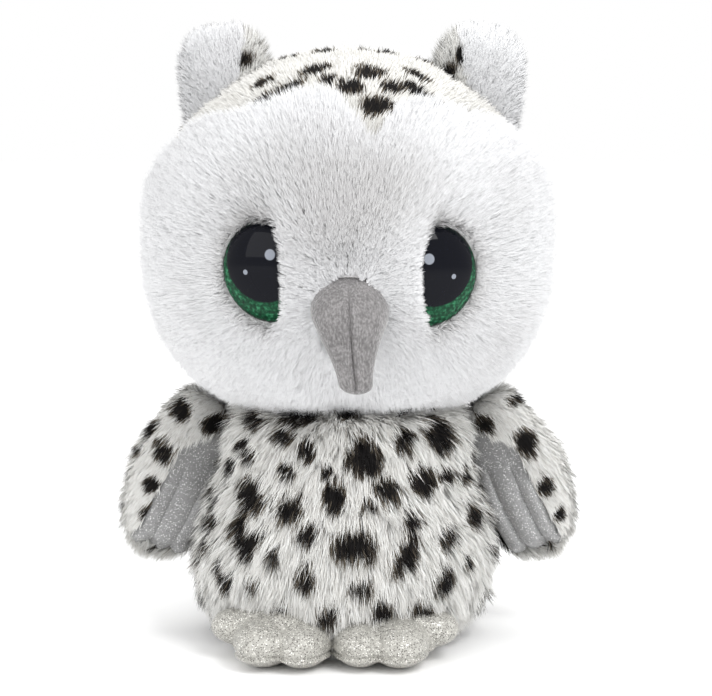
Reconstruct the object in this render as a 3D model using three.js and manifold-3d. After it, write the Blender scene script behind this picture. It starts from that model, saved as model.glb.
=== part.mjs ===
// Interactive plush owl: a turning head, two lifting wings, a pressed belly button,
// and the housing, gear train, sound parts and battery box inside the body.
// Millimetres, +Z up. The owl faces -Y and its own left is +X. It sits on z = 0.
import * as THREE from 'three';
import { mergeVertices } from 'three/addons/utils/BufferGeometryUtils.js';
import Module from 'manifold-3d';

const wasm = await Module();
wasm.setup();

// ---- driving dimensions ----
const GAP = 0.3; // clearance between neighbouring pieces
const SKIN = 3; // thickness of a plush panel
const ROUND = 20; // sides of the large turned forms
const EYE_SIDES = 18; // sides of the eyes and of their sockets

const HEAD_CENTRE_Z = 172;
const HEAD_HALF = { x: 80, y: 68, z: 71 }; // out to the middle of the pile
// Powers of the head's outline: 1 is an ellipse, and less is squarer. The jaw is squarer than the crown.
const HEAD_POWER = { crown: 0.95, jaw: 0.72 };
const HEAD_OPENING_R = 28; // hole in the head plush for the carrier flange
const CROWN_SEAM_TILT = THREE.MathUtils.degToRad(38.8); // seam plane between face and crown

const BODY_PROFILE = [
  [46, 2], [54, 10], [60, 26], [61, 44], [57, 62], [51, 78], [42, 91], [28, 96.5], [16, 97],
]; // radius and height of the body plush, from the base rim to the neck opening
const BASE_RING = { inner: 36, outer: 46, height: 1.7 };

const EYE = { x: 31.5, z: 158, r: 21, dome: 9, sink: 9, yaw: 20, pitch: 5 };
const BEAK = { top: 163, length: 47, y0: -56, reach: 21 };
const BEAK_WIDTHS = [0, 8, 11.6, 13.3, 13.4, 12.4, 10.9, 9.3, 8, 7, 6.2, 4.8, 0]; // radii, top to tip
const EAR = { x: 50, z: 227, half: [18, 8, 26], lean: 12 };

const WING = { x: 70, y: 4, z: 69, half: [21, 9, 36], lean: 17, yaw: 14 };
const FOOT = { x: 23.5, rear: -42, front: -77, splay: 5, seam: 3, height: 18, bevel: 3 };
// Toes from the inside outward: centre from the foot's middle line, step back from the front, radius.
const TOES = [[-13.3, 0.5, 8], [2, 0, 8.6], [16, 9, 6.2]];

const HOUSING = { r: 40, wall: 2, bottom: 4.8, top: 84, neckR: 13, neckTop: 99 };
const BUSH_R = 10;
const SHAFT = { r: 4, bottom: 56, top: 124 };
const CARRIER = { flangeR: 26, flangeLow: 101.8, flangeHigh: 104.8, hubR: 9, hubTop: 125 };
const PIN_Z = 115;

const GEAR = { headTeeth: 24, smallTeeth: 8, largeTeeth: 20, pinionTeeth: 8 };
const MODULE = 1.25; // pitch diameter for each tooth
const LAYER_LOW = [62, 66]; // pinion and large idler wheel
const LAYER_HIGH = [68, 72]; // small idler wheel and head gear
const IDLER_X = (MODULE * (GEAR.headTeeth + GEAR.smallTeeth)) / 2;
const MOTOR_ANGLE = THREE.MathUtils.degToRad(120); // direction from the idler axis to the motor
const MOTOR_DISTANCE = (MODULE * (GEAR.largeTeeth + GEAR.pinionTeeth)) / 2;
const MOTOR_X = IDLER_X + MOTOR_DISTANCE * Math.cos(MOTOR_ANGLE);
const MOTOR_Y = MOTOR_DISTANCE * Math.sin(MOTOR_ANGLE);
const PLATE = { low: 58.5, high: 60.5, r: 37.4 };
const AXLE_R = 1.5;

const SCREW_X = 33;
const SCREW_ZS = [30, 74];
const CELL = { r: 7, length: 49.5, pitch: 14.5, z: 12.8 };
const BATTERY_BOX = { x: 28.4, y: 23.4, top: 22.5, wall: 1.4, flangeLow: 2, flangeHigh: 4.5 };
const DOOR = { x: 26.6, y: 21.6, low: 2.2, high: 4.2, tabX: 33.4, tabY: 5, screwX: 30.6 };
const SWITCH_SLOT = { y: -28.5, halfX: 6, halfY: 2 };
const BUTTON = { z: 50, discR: 9, stemR: 2.6, travel: 2.5 };
const BOARD = { y: -26.2, halfX: 19, low: 27, high: 57, t: 1.6 };
const SPEAKER = { z: 41, r: 14, y: 30.2 };

// ---- materials ----
const paint = (color, roughness, metalness = 0) =>
  new THREE.MeshStandardMaterial({ color, roughness, metalness });
const WHITE_PLUSH = paint(0xf2f1ef, 1);
const SPOTTED_PLUSH = paint(0xd9d5cf, 1);
const SPARKLE = paint(0xb9bbbd, 0.45, 0.4);
const GLITTER = paint(0xc4c0b8, 0.45, 0.4);
const VELOUR = paint(0x8c8788, 0.95);
const FIBRE = paint(0xf7f7f5, 1);
const BASE_CLOTH = paint(0xe6e4e0, 0.95);
const CLEAR = paint(0x0c0f0d, 0.05);
const IRIS = paint(0x1f6b45, 0.3);
const GREY_PLASTIC = paint(0xc9ccd0, 0.5);
const DARK_PLASTIC = paint(0x2b2d30, 0.5);
const ACETAL = paint(0xf0efe9, 0.4);
const STEEL = paint(0xb5b8bc, 0.3, 0.9);
const BOARD_GREEN = paint(0x1d6a3a, 0.6);
const CELL_WRAP = paint(0x6f7378, 0.35, 0.3);

// ---- joining and cutting ----
function solid(geometry) {
  const bare = geometry.clone();
  bare.deleteAttribute('normal');
  bare.deleteAttribute('uv');
  const merged = mergeVertices(bare, 1e-4);
  const points = merged.attributes.position.array;
  const index = merged.index.array;
  const triangles = [];
  let volume = 0;
  const a = new THREE.Vector3();
  const b = new THREE.Vector3();
  const c = new THREE.Vector3();
  for (let i = 0; i < index.length; i += 3) {
    const [p, q, r] = [index[i], index[i + 1], index[i + 2]];
    if (p === q || q === r || r === p) continue;
    triangles.push(p, q, r);
    a.fromArray(points, 3 * p);
    b.fromArray(points, 3 * q);
    c.fromArray(points, 3 * r);
    volume += a.dot(b.cross(c));
  }
  if (volume < 0) triangles.reverse();
  return new wasm.Manifold(new wasm.Mesh({
    numProp: 3,
    vertProperties: new Float32Array(points),
    triVerts: new Uint32Array(triangles),
  }));
}

function cut(body, ...tools) {
  return tools.reduce((left, tool) => left.subtract(tool), body);
}

function join(...bodies) {
  return bodies.reduce((whole, next) => whole.add(next));
}

function surface(body) {
  const mesh = body.getMesh();
  const geometry = new THREE.BufferGeometry();
  geometry.setAttribute('position', new THREE.BufferAttribute(new Float32Array(mesh.vertProperties), 3));
  geometry.setIndex(new THREE.BufferAttribute(new Uint32Array(mesh.triVerts), 1));
  geometry.computeVertexNormals();
  return geometry;
}

// ---- basic forms, all returned as solids ----
function turned(profile, sides = ROUND) {
  const points = profile.map(([r, z]) => new THREE.Vector2(r, z));
  return solid(new THREE.LatheGeometry(points, sides).rotateX(Math.PI / 2));
}

function disc(r, low, high, sides = ROUND) {
  return turned([[0, low], [r, low], [r, high], [0, high]], sides);
}

function ring(inner, outer, low, high, sides = ROUND) {
  return turned([[inner, low], [outer, low], [outer, high], [inner, high], [inner, low]], sides);
}

function block(lowX, highX, lowY, highY, lowZ, highZ) {
  const box = new THREE.BoxGeometry(highX - lowX, highY - lowY, highZ - lowZ);
  box.translate((lowX + highX) / 2, (lowY + highY) / 2, (lowZ + highZ) / 2);
  return solid(box);
}

// A rod from one Y to another, centred at x and z.
function rodY(r, x, z, lowY, highY, sides = 12) {
  const rod = new THREE.CylinderGeometry(r, r, highY - lowY, sides);
  return solid(rod.translate(x, (lowY + highY) / 2, z));
}

function rodZ(r, x, y, low, high, sides = 12) {
  const rod = new THREE.CylinderGeometry(r, r, high - low, sides).rotateX(Math.PI / 2);
  return solid(rod.translate(x, y, (low + high) / 2));
}

// The radius of a hole that a rod of radius r turns or slides in.
function around(r) {
  return r + GAP;
}

function degrees(angle) {
  return THREE.MathUtils.degToRad(angle);
}

// ---- head ----
// The radius and height of the head's outline at an angle up from its middle.
function headOutline(angle, halfX, halfZ) {
  const power = angle < 0 ? HEAD_POWER.jaw : HEAD_POWER.crown;
  const height = Math.sign(angle) * Math.abs(Math.sin(angle)) ** power;
  return [halfX * Math.abs(Math.cos(angle)) ** power, halfZ * height];
}

// The head as one solid, drawn in from the outside by inset.
function headForm(inset, rows = 14) {
  const half = { x: HEAD_HALF.x - inset, y: HEAD_HALF.y - inset, z: HEAD_HALF.z - inset };
  const profile = [];
  for (let row = 0; row <= rows; row += 1) {
    const [r, z] = headOutline(Math.PI * (row / rows - 0.5), half.x, half.z);
    profile.push(new THREE.Vector2(row === 0 || row === rows ? 0 : r, z));
  }
  const ball = new THREE.LatheGeometry(profile, ROUND).rotateX(Math.PI / 2);
  return solid(ball.scale(1, half.y / half.x, 1).translate(0, 0, HEAD_CENTRE_Z));
}

// Places a solid made in eye coordinates: +Z out of the eye, origin at the middle of its rim.
function atEye(side, geometry) {
  const below = (HEAD_CENTRE_Z - EYE.z) / HEAD_HALF.z;
  const angle = -Math.asin(below ** (1 / HEAD_POWER.jaw));
  const [r] = headOutline(angle, HEAD_HALF.x, HEAD_HALF.z);
  const surfaceY = -Math.sqrt(r ** 2 - EYE.x ** 2) * (HEAD_HALF.y / HEAD_HALF.x);
  const place = new THREE.Matrix4().makeRotationZ(degrees(side * EYE.yaw));
  place.multiply(new THREE.Matrix4().makeRotationX(degrees(90 + EYE.pitch)));
  const out = new THREE.Vector3(0, 0, 1).transformDirection(place);
  place.setPosition(
    side * EYE.x - EYE.sink * out.x,
    surfaceY - EYE.sink * out.y,
    EYE.z - EYE.sink * out.z,
  );
  return geometry.applyMatrix4(place);
}

function lathed(profile, sides) {
  const points = profile.map(([r, z]) => new THREE.Vector2(r, z));
  return new THREE.LatheGeometry(points, sides).rotateX(Math.PI / 2);
}

const EYE_PLATE = 2.2;
const POST = { r: 3, depth: 16 };
const WASHER = { r: 10, low: -13, high: -11.5 };

function eyeDome(side) {
  const profile = [[0, 0], [EYE.r, 0]];
  const steps = 5;
  for (let step = 1; step <= steps; step += 1) {
    const angle = (Math.PI / 2) * (step / steps);
    const r = step === steps ? 0 : EYE.r * Math.cos(angle);
    profile.push([r, EYE.dome * Math.sin(angle)]);
  }
  return solid(atEye(side, lathed(profile, EYE_SIDES)));
}

function eyeBack(side) {
  const profile = [
    [0, -GAP], [EYE.r, -GAP], [EYE.r, -EYE_PLATE], [POST.r, -EYE_PLATE], [POST.r, -POST.depth], [0, -POST.depth],
  ];
  return solid(atEye(side, lathed(profile, EYE_SIDES)));
}

function eyeWasher(side) {
  const inner = POST.r + GAP;
  const profile = [
    [inner, WASHER.low], [WASHER.r, WASHER.low], [WASHER.r, WASHER.high], [inner, WASHER.high], [inner, WASHER.low],
  ];
  return solid(atEye(side, lathed(profile, 16)));
}

// The socket that the eye, its post and its washer take out of the plush and the stuffing.
function eyeSocket(side) {
  const hole = POST.r + GAP;
  const washerR = WASHER.r + GAP;
  const profile = [
    [0, 30], [EYE.r + GAP, 30], [EYE.r + GAP, -EYE_PLATE - GAP], [hole, -EYE_PLATE - GAP],
    [hole, WASHER.high + GAP], [washerR, WASHER.high + GAP], [washerR, WASHER.low - GAP],
    [hole, WASHER.low - GAP], [hole, -POST.depth - GAP], [0, -POST.depth - GAP],
  ];
  return solid(atEye(side, lathed(profile, EYE_SIDES)));
}

// Everything on the crown side of the seam plane, moved along its normal by offset.
function behindSeam(offset) {
  const size = 400;
  const half = new THREE.BoxGeometry(size, size, size);
  half.translate(0, size / 2 + offset, 0);
  half.rotateX(CROWN_SEAM_TILT).translate(0, 0, HEAD_CENTRE_Z);
  return solid(half);
}

// A drop that is bent forward as it goes down: the beak.
function beakForm() {
  const last = BEAK_WIDTHS.length - 1;
  const profile = BEAK_WIDTHS.map((r, row) => new THREE.Vector2(r, (-BEAK.length * row) / last));
  const drop = new THREE.LatheGeometry(profile, 14).rotateX(Math.PI / 2);
  const place = drop.attributes.position;
  for (let i = 0; i < place.count; i += 1) {
    const down = -place.getZ(i) / BEAK.length;
    const forward = BEAK.reach * Math.sin((Math.PI / 2) * down ** 0.8);
    place.setY(i, place.getY(i) + BEAK.y0 - forward);
    place.setZ(i, place.getZ(i) + BEAK.top);
  }
  return solid(drop);
}

function earForm(side) {
  const ball = new THREE.SphereGeometry(1, 16, 10);
  ball.scale(...EAR.half).rotateY(degrees(side * EAR.lean));
  return solid(ball.translate(side * EAR.x, 0, EAR.z));
}

// ---- body ----
// The body's outline, drawn in by inset at right angles to itself. The base rim only moves
// sideways and the neck rim only moves down, so that both stay flat.
function bodyProfile(inset) {
  const last = BODY_PROFILE.length - 1;
  return BODY_PROFILE.map(([r, z], row) => {
    if (row === 0) return [r - inset, z];
    if (row === last) return [r, z - inset];
    const [rBelow, zBelow] = BODY_PROFILE[row - 1];
    const [rAbove, zAbove] = BODY_PROFILE[row + 1];
    const length = Math.hypot(rAbove - rBelow, zAbove - zBelow);
    return [r - (inset * (zAbove - zBelow)) / length, z + (inset * (rAbove - rBelow)) / length];
  });
}

function bodyForm(inset) {
  const profile = bodyProfile(inset);
  const [, low] = profile[0];
  const [, high] = profile[profile.length - 1];
  return turned([[0, low], ...profile, [0, high]]);
}

// ---- gears: straight-sided teeth on a disc, with a bore ----
function gearWheel(teeth, phase, [low, high], bore) {
  const pitchR = (MODULE * teeth) / 2;
  const outline = new THREE.Shape();
  const step = (2 * Math.PI) / teeth;
  const stations = [[-0.25, -1.2], [-0.12, 0.85], [0.12, 0.85], [0.25, -1.2]]; // share of a step, rise
  for (let tooth = 0; tooth < teeth; tooth += 1) {
    stations.forEach(([share, rise], corner) => {
      const angle = phase + step * (tooth + share);
      const r = pitchR + rise;
      const point = [r * Math.cos(angle), r * Math.sin(angle)];
      if (tooth === 0 && corner === 0) outline.moveTo(...point);
      else outline.lineTo(...point);
    });
  }
  outline.closePath();
  const wheel = new THREE.ExtrudeGeometry(outline, { depth: high - low, bevelEnabled: false });
  return cut(solid(wheel.translate(0, 0, low)), disc(bore, low - 1, high + 1, 12));
}

// ---- wings and feet ----
function wingForm(side) {
  const ball = new THREE.SphereGeometry(1, 18, 12);
  ball.scale(...WING.half).rotateY(degrees(-side * WING.lean)).rotateZ(degrees(side * -WING.yaw));
  return solid(ball.translate(side * WING.x, WING.y, WING.z));
}

// The half space behind the wing's middle surface, where the plush is.
function behindWing(side, offset) {
  const size = 200;
  const half = new THREE.BoxGeometry(size, size, size).translate(0, size / 2 + offset, 0);
  half.rotateZ(degrees(side * -WING.yaw));
  return solid(half.translate(side * WING.x, WING.y, WING.z));
}

// A foot seen from above: a heel, two large toes, and a small outer toe that is set back.
function footOutline(side) {
  const outline = new THREE.Shape();
  const [inner, middle, outer] = TOES.map(([x, back, r]) => [x, FOOT.front + r + back, r - FOOT.bevel]);
  outline.absarc(...inner, Math.PI, 1.85 * Math.PI, false);
  outline.absarc(...middle, 1.15 * Math.PI, 1.85 * Math.PI, false);
  outline.absarc(...outer, 1.25 * Math.PI, 2.1 * Math.PI, false);
  outline.lineTo(outer[0] - 1, FOOT.rear);
  outline.lineTo(inner[0] - inner[2] + 3, FOOT.rear);
  outline.closePath();
  const points = outline.extractPoints(4).shape.map(({ x, y }) => new THREE.Vector2(side * x, y));
  return new THREE.Shape(points);
}

function footForm(side) {
  const { bevel } = FOOT;
  const pad = new THREE.ExtrudeGeometry(footOutline(side), {
    depth: FOOT.height - 2 * bevel, bevelThickness: bevel, bevelSize: bevel, bevelSegments: 2,
  });
  pad.translate(0, -FOOT.rear, bevel).rotateZ(degrees(side * FOOT.splay));
  return solid(pad.translate(side * FOOT.x, FOOT.rear, 0));
}

// ---- build ----
const owl = new THREE.Group();

function add(name, body, material) {
  const mesh = new THREE.Mesh(surface(body), material);
  mesh.name = name;
  owl.add(mesh);
}

const SIDES = [['left', 1], ['right', -1]];
const headOuter = headForm(0);
const headClear = headForm(-GAP);
const bodyClear = bodyForm(-1);
const sockets = SIDES.map(([, side]) => eyeSocket(side));

function addHead() {
  const neckHole = disc(HEAD_OPENING_R, 90, 112);
  const shell = cut(headOuter, headForm(SKIN), neckHole, ...sockets);
  add('face_panel', cut(shell, behindSeam(-GAP / 2)), WHITE_PLUSH);
  add('head_back_panel', shell.intersect(behindSeam(GAP / 2)), SPOTTED_PLUSH);

  const carrierRoom = turned([
    [0, 90], [HEAD_OPENING_R, 90], [HEAD_OPENING_R, CARRIER.flangeHigh + GAP],
    [CARRIER.hubR + GAP, CARRIER.flangeHigh + GAP], [CARRIER.hubR + GAP, CARRIER.hubTop + GAP],
    [0, CARRIER.hubTop + GAP],
  ]);
  add('head_stuffing', cut(headForm(SKIN + GAP), carrierRoom, ...sockets), FIBRE);
  add('beak', cut(beakForm(), headClear, ...sockets), VELOUR);
  SIDES.forEach(([name, side]) => {
    add(`ear_${name}`, cut(earForm(side), headClear), WHITE_PLUSH);
    add(`eye_dome_${name}`, eyeDome(side), CLEAR);
    add(`eye_back_${name}`, eyeBack(side), IRIS);
    add(`eye_washer_${name}`, eyeWasher(side), ACETAL);
  });
}

function addHeadDrive() {
  const bore = SHAFT.r + GAP;
  const pinR = 1;
  const pinHole = rodY(pinR + GAP, 0, PIN_Z, -20, 20);
  const carrier = turned([
    [bore, CARRIER.flangeLow], [CARRIER.flangeR, CARRIER.flangeLow], [CARRIER.flangeR, CARRIER.flangeHigh],
    [CARRIER.hubR, CARRIER.flangeHigh], [CARRIER.hubR, CARRIER.hubTop], [bore, CARRIER.hubTop],
    [bore, CARRIER.flangeLow],
  ]);
  add('head_carrier', cut(carrier, pinHole), GREY_PLASTIC);
  add('head_shaft', cut(disc(SHAFT.r, SHAFT.bottom, SHAFT.top, 16), pinHole), STEEL);
  add('carrier_pin', rodY(pinR, 0, PIN_Z, -CARRIER.hubR + GAP, CARRIER.hubR - GAP), STEEL);
  add('head_gear', gearWheel(GEAR.headTeeth, 0, LAYER_HIGH, bore), ACETAL);
  add('neck_bush', ring(bore, BUSH_R - GAP, 90, HOUSING.neckTop), ACETAL);
}

function addGearTrain() {
  const smallPhase = Math.PI / GEAR.smallTeeth;
  const axleBore = AXLE_R + GAP;
  const large = gearWheel(GEAR.largeTeeth, MOTOR_ANGLE, LAYER_LOW, axleBore);
  const small = gearWheel(GEAR.smallTeeth, smallPhase, [LAYER_LOW[1] - 0.01, LAYER_HIGH[1]], axleBore);
  add('idler_gear', join(large, small).translate([IDLER_X, 0, 0]), ACETAL);
  add('idler_axle', rodZ(AXLE_R, IDLER_X, 0, PLATE.low - 3, 77), STEEL);

  const pinionPhase = MOTOR_ANGLE + Math.PI + Math.PI / GEAR.pinionTeeth;
  const motorShaftR = 1;
  const pinion = gearWheel(GEAR.pinionTeeth, pinionPhase, LAYER_LOW, motorShaftR + GAP);
  add('motor_pinion', pinion.translate([MOTOR_X, MOTOR_Y, 0]), ACETAL);
  add('motor_shaft', rodZ(motorShaftR, MOTOR_X, MOTOR_Y, 50, LAYER_LOW[1] + 1), STEEL);

  const can = disc(10, 33, 57.6, 20).intersect(block(-10, 10, -7.5, 7.5, 30, 60));
  const boss = disc(3, 57, 60, 12);
  const well = disc(motorShaftR + GAP, 49.7, 61, 12);
  add('motor', cut(join(can, boss), well).translate([MOTOR_X, MOTOR_Y, 0]), STEEL);

  const plate = cut(
    disc(PLATE.r, PLATE.low, PLATE.high),
    block(-30, 30, -50, BOARD.y + 3, 50, 70),
    disc(around(SHAFT.r), 50, 70, 16),
    rodZ(around(AXLE_R), IDLER_X, 0, 50, 70),
    rodZ(around(3), MOTOR_X, MOTOR_Y, 50, 70),
  );
  add('gear_plate', plate, GREY_PLASTIC);
}

function addHousing() {
  const inner = HOUSING.r - HOUSING.wall;
  const shell = turned([
    [inner, HOUSING.bottom], [HOUSING.r, HOUSING.bottom], [HOUSING.r, HOUSING.top - 4],
    [HOUSING.r - 4, HOUSING.top], [HOUSING.neckR, HOUSING.top], [HOUSING.neckR, HOUSING.neckTop],
    [BUSH_R, HOUSING.neckTop], [BUSH_R, HOUSING.top - 2], [HOUSING.r - 5, HOUSING.top - 2],
    [inner, HOUSING.top - 5], [inner, HOUSING.bottom],
  ]);
  const bosses = [];
  const pilots = [];
  const heads = [];
  SCREW_ZS.forEach((z) => {
    [-SCREW_X, SCREW_X].forEach((x) => {
      bosses.push(rodY(3.6, x, z, -19, 21));
      pilots.push(rodY(1.2 + GAP, x, z, -12, 30, 8));
      heads.push(rodY(3, x, z, 14, 30));
    });
  });
  const outside = turned([[0, 0], [HOUSING.r, 0], [HOUSING.r, 100], [0, 100]]);
  const whole = cut(join(shell, ...bosses.map((boss) => boss.intersect(outside))), ...pilots, ...heads);
  const far = 60;
  const buttonHole = rodY(BUTTON.stemR + GAP, 0, BUTTON.z, -50, -30);
  const micHole = rodY(1.2, 12, 35, -50, -30, 8);
  add('housing_front', cut(whole.intersect(block(-far, far, -far, -GAP / 2, 0, 120)), buttonHole, micHole), GREY_PLASTIC);

  const soundHoles = [];
  for (let hole = 0; hole < 7; hole += 1) {
    const angle = (hole * Math.PI) / 3;
    const r = hole === 6 ? 0 : 8;
    soundHoles.push(rodY(1.8, r * Math.cos(angle), SPEAKER.z + r * Math.sin(angle), 30, 50, 8));
  }
  add('housing_back', cut(whole.intersect(block(-far, far, GAP / 2, far, 0, 120)), ...soundHoles), GREY_PLASTIC);

  let count = 0;
  SCREW_ZS.forEach((z) => {
    [-SCREW_X, SCREW_X].forEach((x) => {
      count += 1;
      const screw = cut(
        join(rodY(1.2, x, z, -10, 14.5, 8), rodY(2.5, x, z, 14.4, 16.4)),
        block(x - 0.4, x + 0.4, 15.6, 20, z - 5, z + 5),
      );
      add(`housing_screw_${count}`, screw, STEEL);
    });
  });
}

function addElectronics() {
  const boardBack = BOARD.y + BOARD.t / 2;
  const boardFront = BOARD.y - BOARD.t / 2;
  add('circuit_board', block(-BOARD.halfX, BOARD.halfX, boardFront, boardBack, BOARD.low, BOARD.high), BOARD_GREEN);
  add('control_chip', block(-6, 6, boardBack + GAP, boardBack + 2, 38, 50), DARK_PLASTIC);
  const tact = join(
    block(-3, 3, boardFront - 3.6, boardFront - GAP, BUTTON.z - 3, BUTTON.z + 3),
    rodY(1.6, 0, BUTTON.z, boardFront - 5, boardFront - 3.5),
  );
  add('tact_switch', tact, DARK_PLASTIC);
  add('microphone', rodY(3, 12, 35, boardFront - 3, boardFront - GAP), STEEL);
  const cone = join(
    rodY(SPEAKER.r, 0, SPEAKER.z, SPEAKER.y, SPEAKER.y + 1.6, 20),
    rodY(10, 0, SPEAKER.z, SPEAKER.y - 2, SPEAKER.y + 0.1, 16),
    rodY(7, 0, SPEAKER.z, SPEAKER.y - 6, SPEAKER.y - 1.9, 16),
  );
  add('speaker', cone, DARK_PLASTIC);
}

function addButton() {
  const tip = BOARD.y - BOARD.t / 2 - 5 - GAP - BUTTON.travel;
  const discBack = -HOUSING.r - GAP - BUTTON.travel;
  const button = join(
    rodY(BUTTON.stemR, 0, BUTTON.z, discBack - 0.5, tip),
    rodY(BUTTON.discR, 0, BUTTON.z, discBack - 2.5, discBack, 20),
  );
  add('belly_button', button, DARK_PLASTIC);
}

function addBatteryBox() {
  const { x, y, top, wall, flangeLow, flangeHigh } = BATTERY_BOX;
  const slot = block(
    -SWITCH_SLOT.halfX, SWITCH_SLOT.halfX, SWITCH_SLOT.y - SWITCH_SLOT.halfY, SWITCH_SLOT.y + SWITCH_SLOT.halfY, 0, 6,
  );
  const doorRoom = join(
    block(-DOOR.x - GAP, DOOR.x + GAP, -DOOR.y - GAP, DOOR.y + GAP, 0, flangeHigh + 0.1),
    block(0, DOOR.tabX + GAP, -DOOR.tabY - GAP, DOOR.tabY + GAP, 0, DOOR.high + GAP),
  );
  const cells = block(-x + wall, x - wall, -y + wall, y - wall, flangeLow - 1, top - wall);
  const box = cut(
    join(disc(HOUSING.r - GAP, flangeLow, flangeHigh, 32), block(-x, x, -y, y, flangeHigh - 0.5, top),
      rodZ(3.6, DOOR.screwX, 0, flangeHigh - 0.5, 14)),
    cells, doorRoom, slot, rodZ(1.2 + GAP, DOOR.screwX, 0, 0, 12, 8),
  );
  add('battery_box', box, GREY_PLASTIC);

  const nub = { r: 2.6, length: 1.2 };
  [-1, 0, 1].forEach((row, index) => {
    const cell = solid(lathed([
      [0, 0], [CELL.r, 0], [CELL.r, CELL.length - nub.length], [nub.r, CELL.length - nub.length],
      [nub.r, CELL.length], [0, CELL.length],
    ], 16).translate(0, 0, -CELL.length / 2).rotateY((index % 2 ? -1 : 1) * Math.PI / 2)
      .translate(0, row * CELL.pitch, CELL.z));
    add(`battery_${index + 1}`, cell, CELL_WRAP);
  });
  const strip = { x: 26.4, half: 0.25, y: 20, low: 6, high: 19 };
  [['left', 1], ['right', -1]].forEach(([name, side]) => {
    const middle = side * strip.x;
    add(`contact_${name}`, block(middle - strip.half, middle + strip.half, -strip.y, strip.y, strip.low, strip.high), STEEL);
  });

  const screwHole = rodZ(1.2 + GAP, DOOR.screwX, 0, 0, 12, 8);
  const finger = block(-DOOR.x + 2, -DOOR.x + 5, -8, 8, 0, DOOR.low + 0.8);
  const door = cut(
    join(block(-DOOR.x, DOOR.x, -DOOR.y, DOOR.y, DOOR.low, DOOR.high),
      block(0, DOOR.tabX, -DOOR.tabY, DOOR.tabY, DOOR.low, DOOR.high)),
    screwHole, finger,
  );
  add('battery_door', door, GREY_PLASTIC);
  const screw = join(rodZ(1.2, DOOR.screwX, 0, 1.5, 11, 8), rodZ(2.6, DOOR.screwX, 0, 0.7, 1.8));
  add('door_screw', cut(screw, block(20, 40, -0.4, 0.4, 0, 1.1)), STEEL);

  add('slide_switch_body', block(-7, 7, -31.6, -24.6, 6.4, 11), DARK_PLASTIC);
  const knobLeft = -SWITCH_SLOT.halfX + 0.6;
  const knob = join(
    block(knobLeft, knobLeft + 4, SWITCH_SLOT.y - 1.6, SWITCH_SLOT.y + 1.6, 2.3, 6),
    block(knobLeft + 1.5, knobLeft + 2.5, SWITCH_SLOT.y - 1.6, SWITCH_SLOT.y + 1.6, 1.9, 2.4),
  );
  add('slide_knob', knob, DARK_PLASTIC);
}

function addBody() {
  const neck = BODY_PROFILE[BODY_PROFILE.length - 1];
  const bottomOpening = disc(BODY_PROFILE[0][0] - SKIN, 0, 8);
  const skin = cut(bodyForm(0), bodyForm(SKIN), disc(neck[0] - 1, 80, 110), bottomOpening);
  add('body_skin', skin, SPOTTED_PLUSH);

  const housingRoom = turned([
    [0, 0], [HOUSING.r + GAP, 0], [HOUSING.r + GAP, HOUSING.top - 3.8], [HOUSING.r - 3.8, HOUSING.top + GAP],
    [HOUSING.neckR + GAP, HOUSING.top + GAP], [HOUSING.neckR + GAP, 110], [0, 110],
  ]);
  const buttonRoom = rodY(BUTTON.discR + 1, 0, BUTTON.z, -HOUSING.r - 7, -20, 20);
  const stuffing = cut(bodyForm(SKIN + GAP), housingRoom, buttonRoom, disc(60, 0, 2.3));
  add('body_stuffing', stuffing, FIBRE);
  add('base_panel', ring(BASE_RING.inner, BASE_RING.outer, 0, BASE_RING.height, 32), BASE_CLOTH);
}

function addWings() {
  SIDES.forEach(([name, side]) => {
    const wing = cut(wingForm(side), bodyClear);
    add(`wing_${name}_back`, wing.intersect(behindWing(side, GAP / 2)), SPOTTED_PLUSH);
    add(`wing_${name}_lining`, cut(wing, behindWing(side, -GAP / 2)), SPARKLE);
  });
}

function addFeet() {
  SIDES.forEach(([name, side]) => {
    const foot = cut(footForm(side), bodyForm(-GAP), disc(BASE_RING.outer + GAP, -1, 3, 32));
    add(`foot_${name}_upper`, foot.intersect(block(-99, 99, -99, 99, FOOT.seam + GAP, 40)), GLITTER);
    add(`foot_${name}_sole`, foot.intersect(block(-99, 99, -99, 99, -1, FOOT.seam)), GLITTER);
  });
}

addHead();
addHeadDrive();
addGearTrain();
addHousing();
addElectronics();
addButton();
addBatteryBox();
addBody();
addWings();
addFeet();

// The origin is on the ground in the middle of the whole box, so the neck's axis lies behind it.
const reach = new THREE.Box3().setFromObject(owl);
owl.position.y = -(reach.min.y + reach.max.y) / 2;

export default owl;
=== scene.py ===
import math

import bmesh
import bpy
import numpy as np
from mathutils import Matrix, Vector, kdtree


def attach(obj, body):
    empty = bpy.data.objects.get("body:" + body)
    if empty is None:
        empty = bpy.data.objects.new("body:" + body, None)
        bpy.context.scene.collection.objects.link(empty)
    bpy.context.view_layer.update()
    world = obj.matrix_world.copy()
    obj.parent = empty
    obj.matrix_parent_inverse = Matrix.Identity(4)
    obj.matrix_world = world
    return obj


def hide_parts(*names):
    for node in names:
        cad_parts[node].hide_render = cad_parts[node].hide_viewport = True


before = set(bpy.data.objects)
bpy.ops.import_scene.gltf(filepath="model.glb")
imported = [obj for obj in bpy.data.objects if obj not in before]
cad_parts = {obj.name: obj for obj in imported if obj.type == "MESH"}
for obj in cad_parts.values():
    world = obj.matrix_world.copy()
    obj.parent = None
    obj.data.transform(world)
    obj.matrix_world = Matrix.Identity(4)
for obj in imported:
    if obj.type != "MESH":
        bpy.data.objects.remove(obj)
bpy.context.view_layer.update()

# The plush owl faces -Y and its own left is +X. Shapes are worked out in millimetres.
MM = 0.001
AXIS_Y = 7.689  # the neck's axis, where the head turns
SIDES = (("left", 1), ("right", -1))

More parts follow.
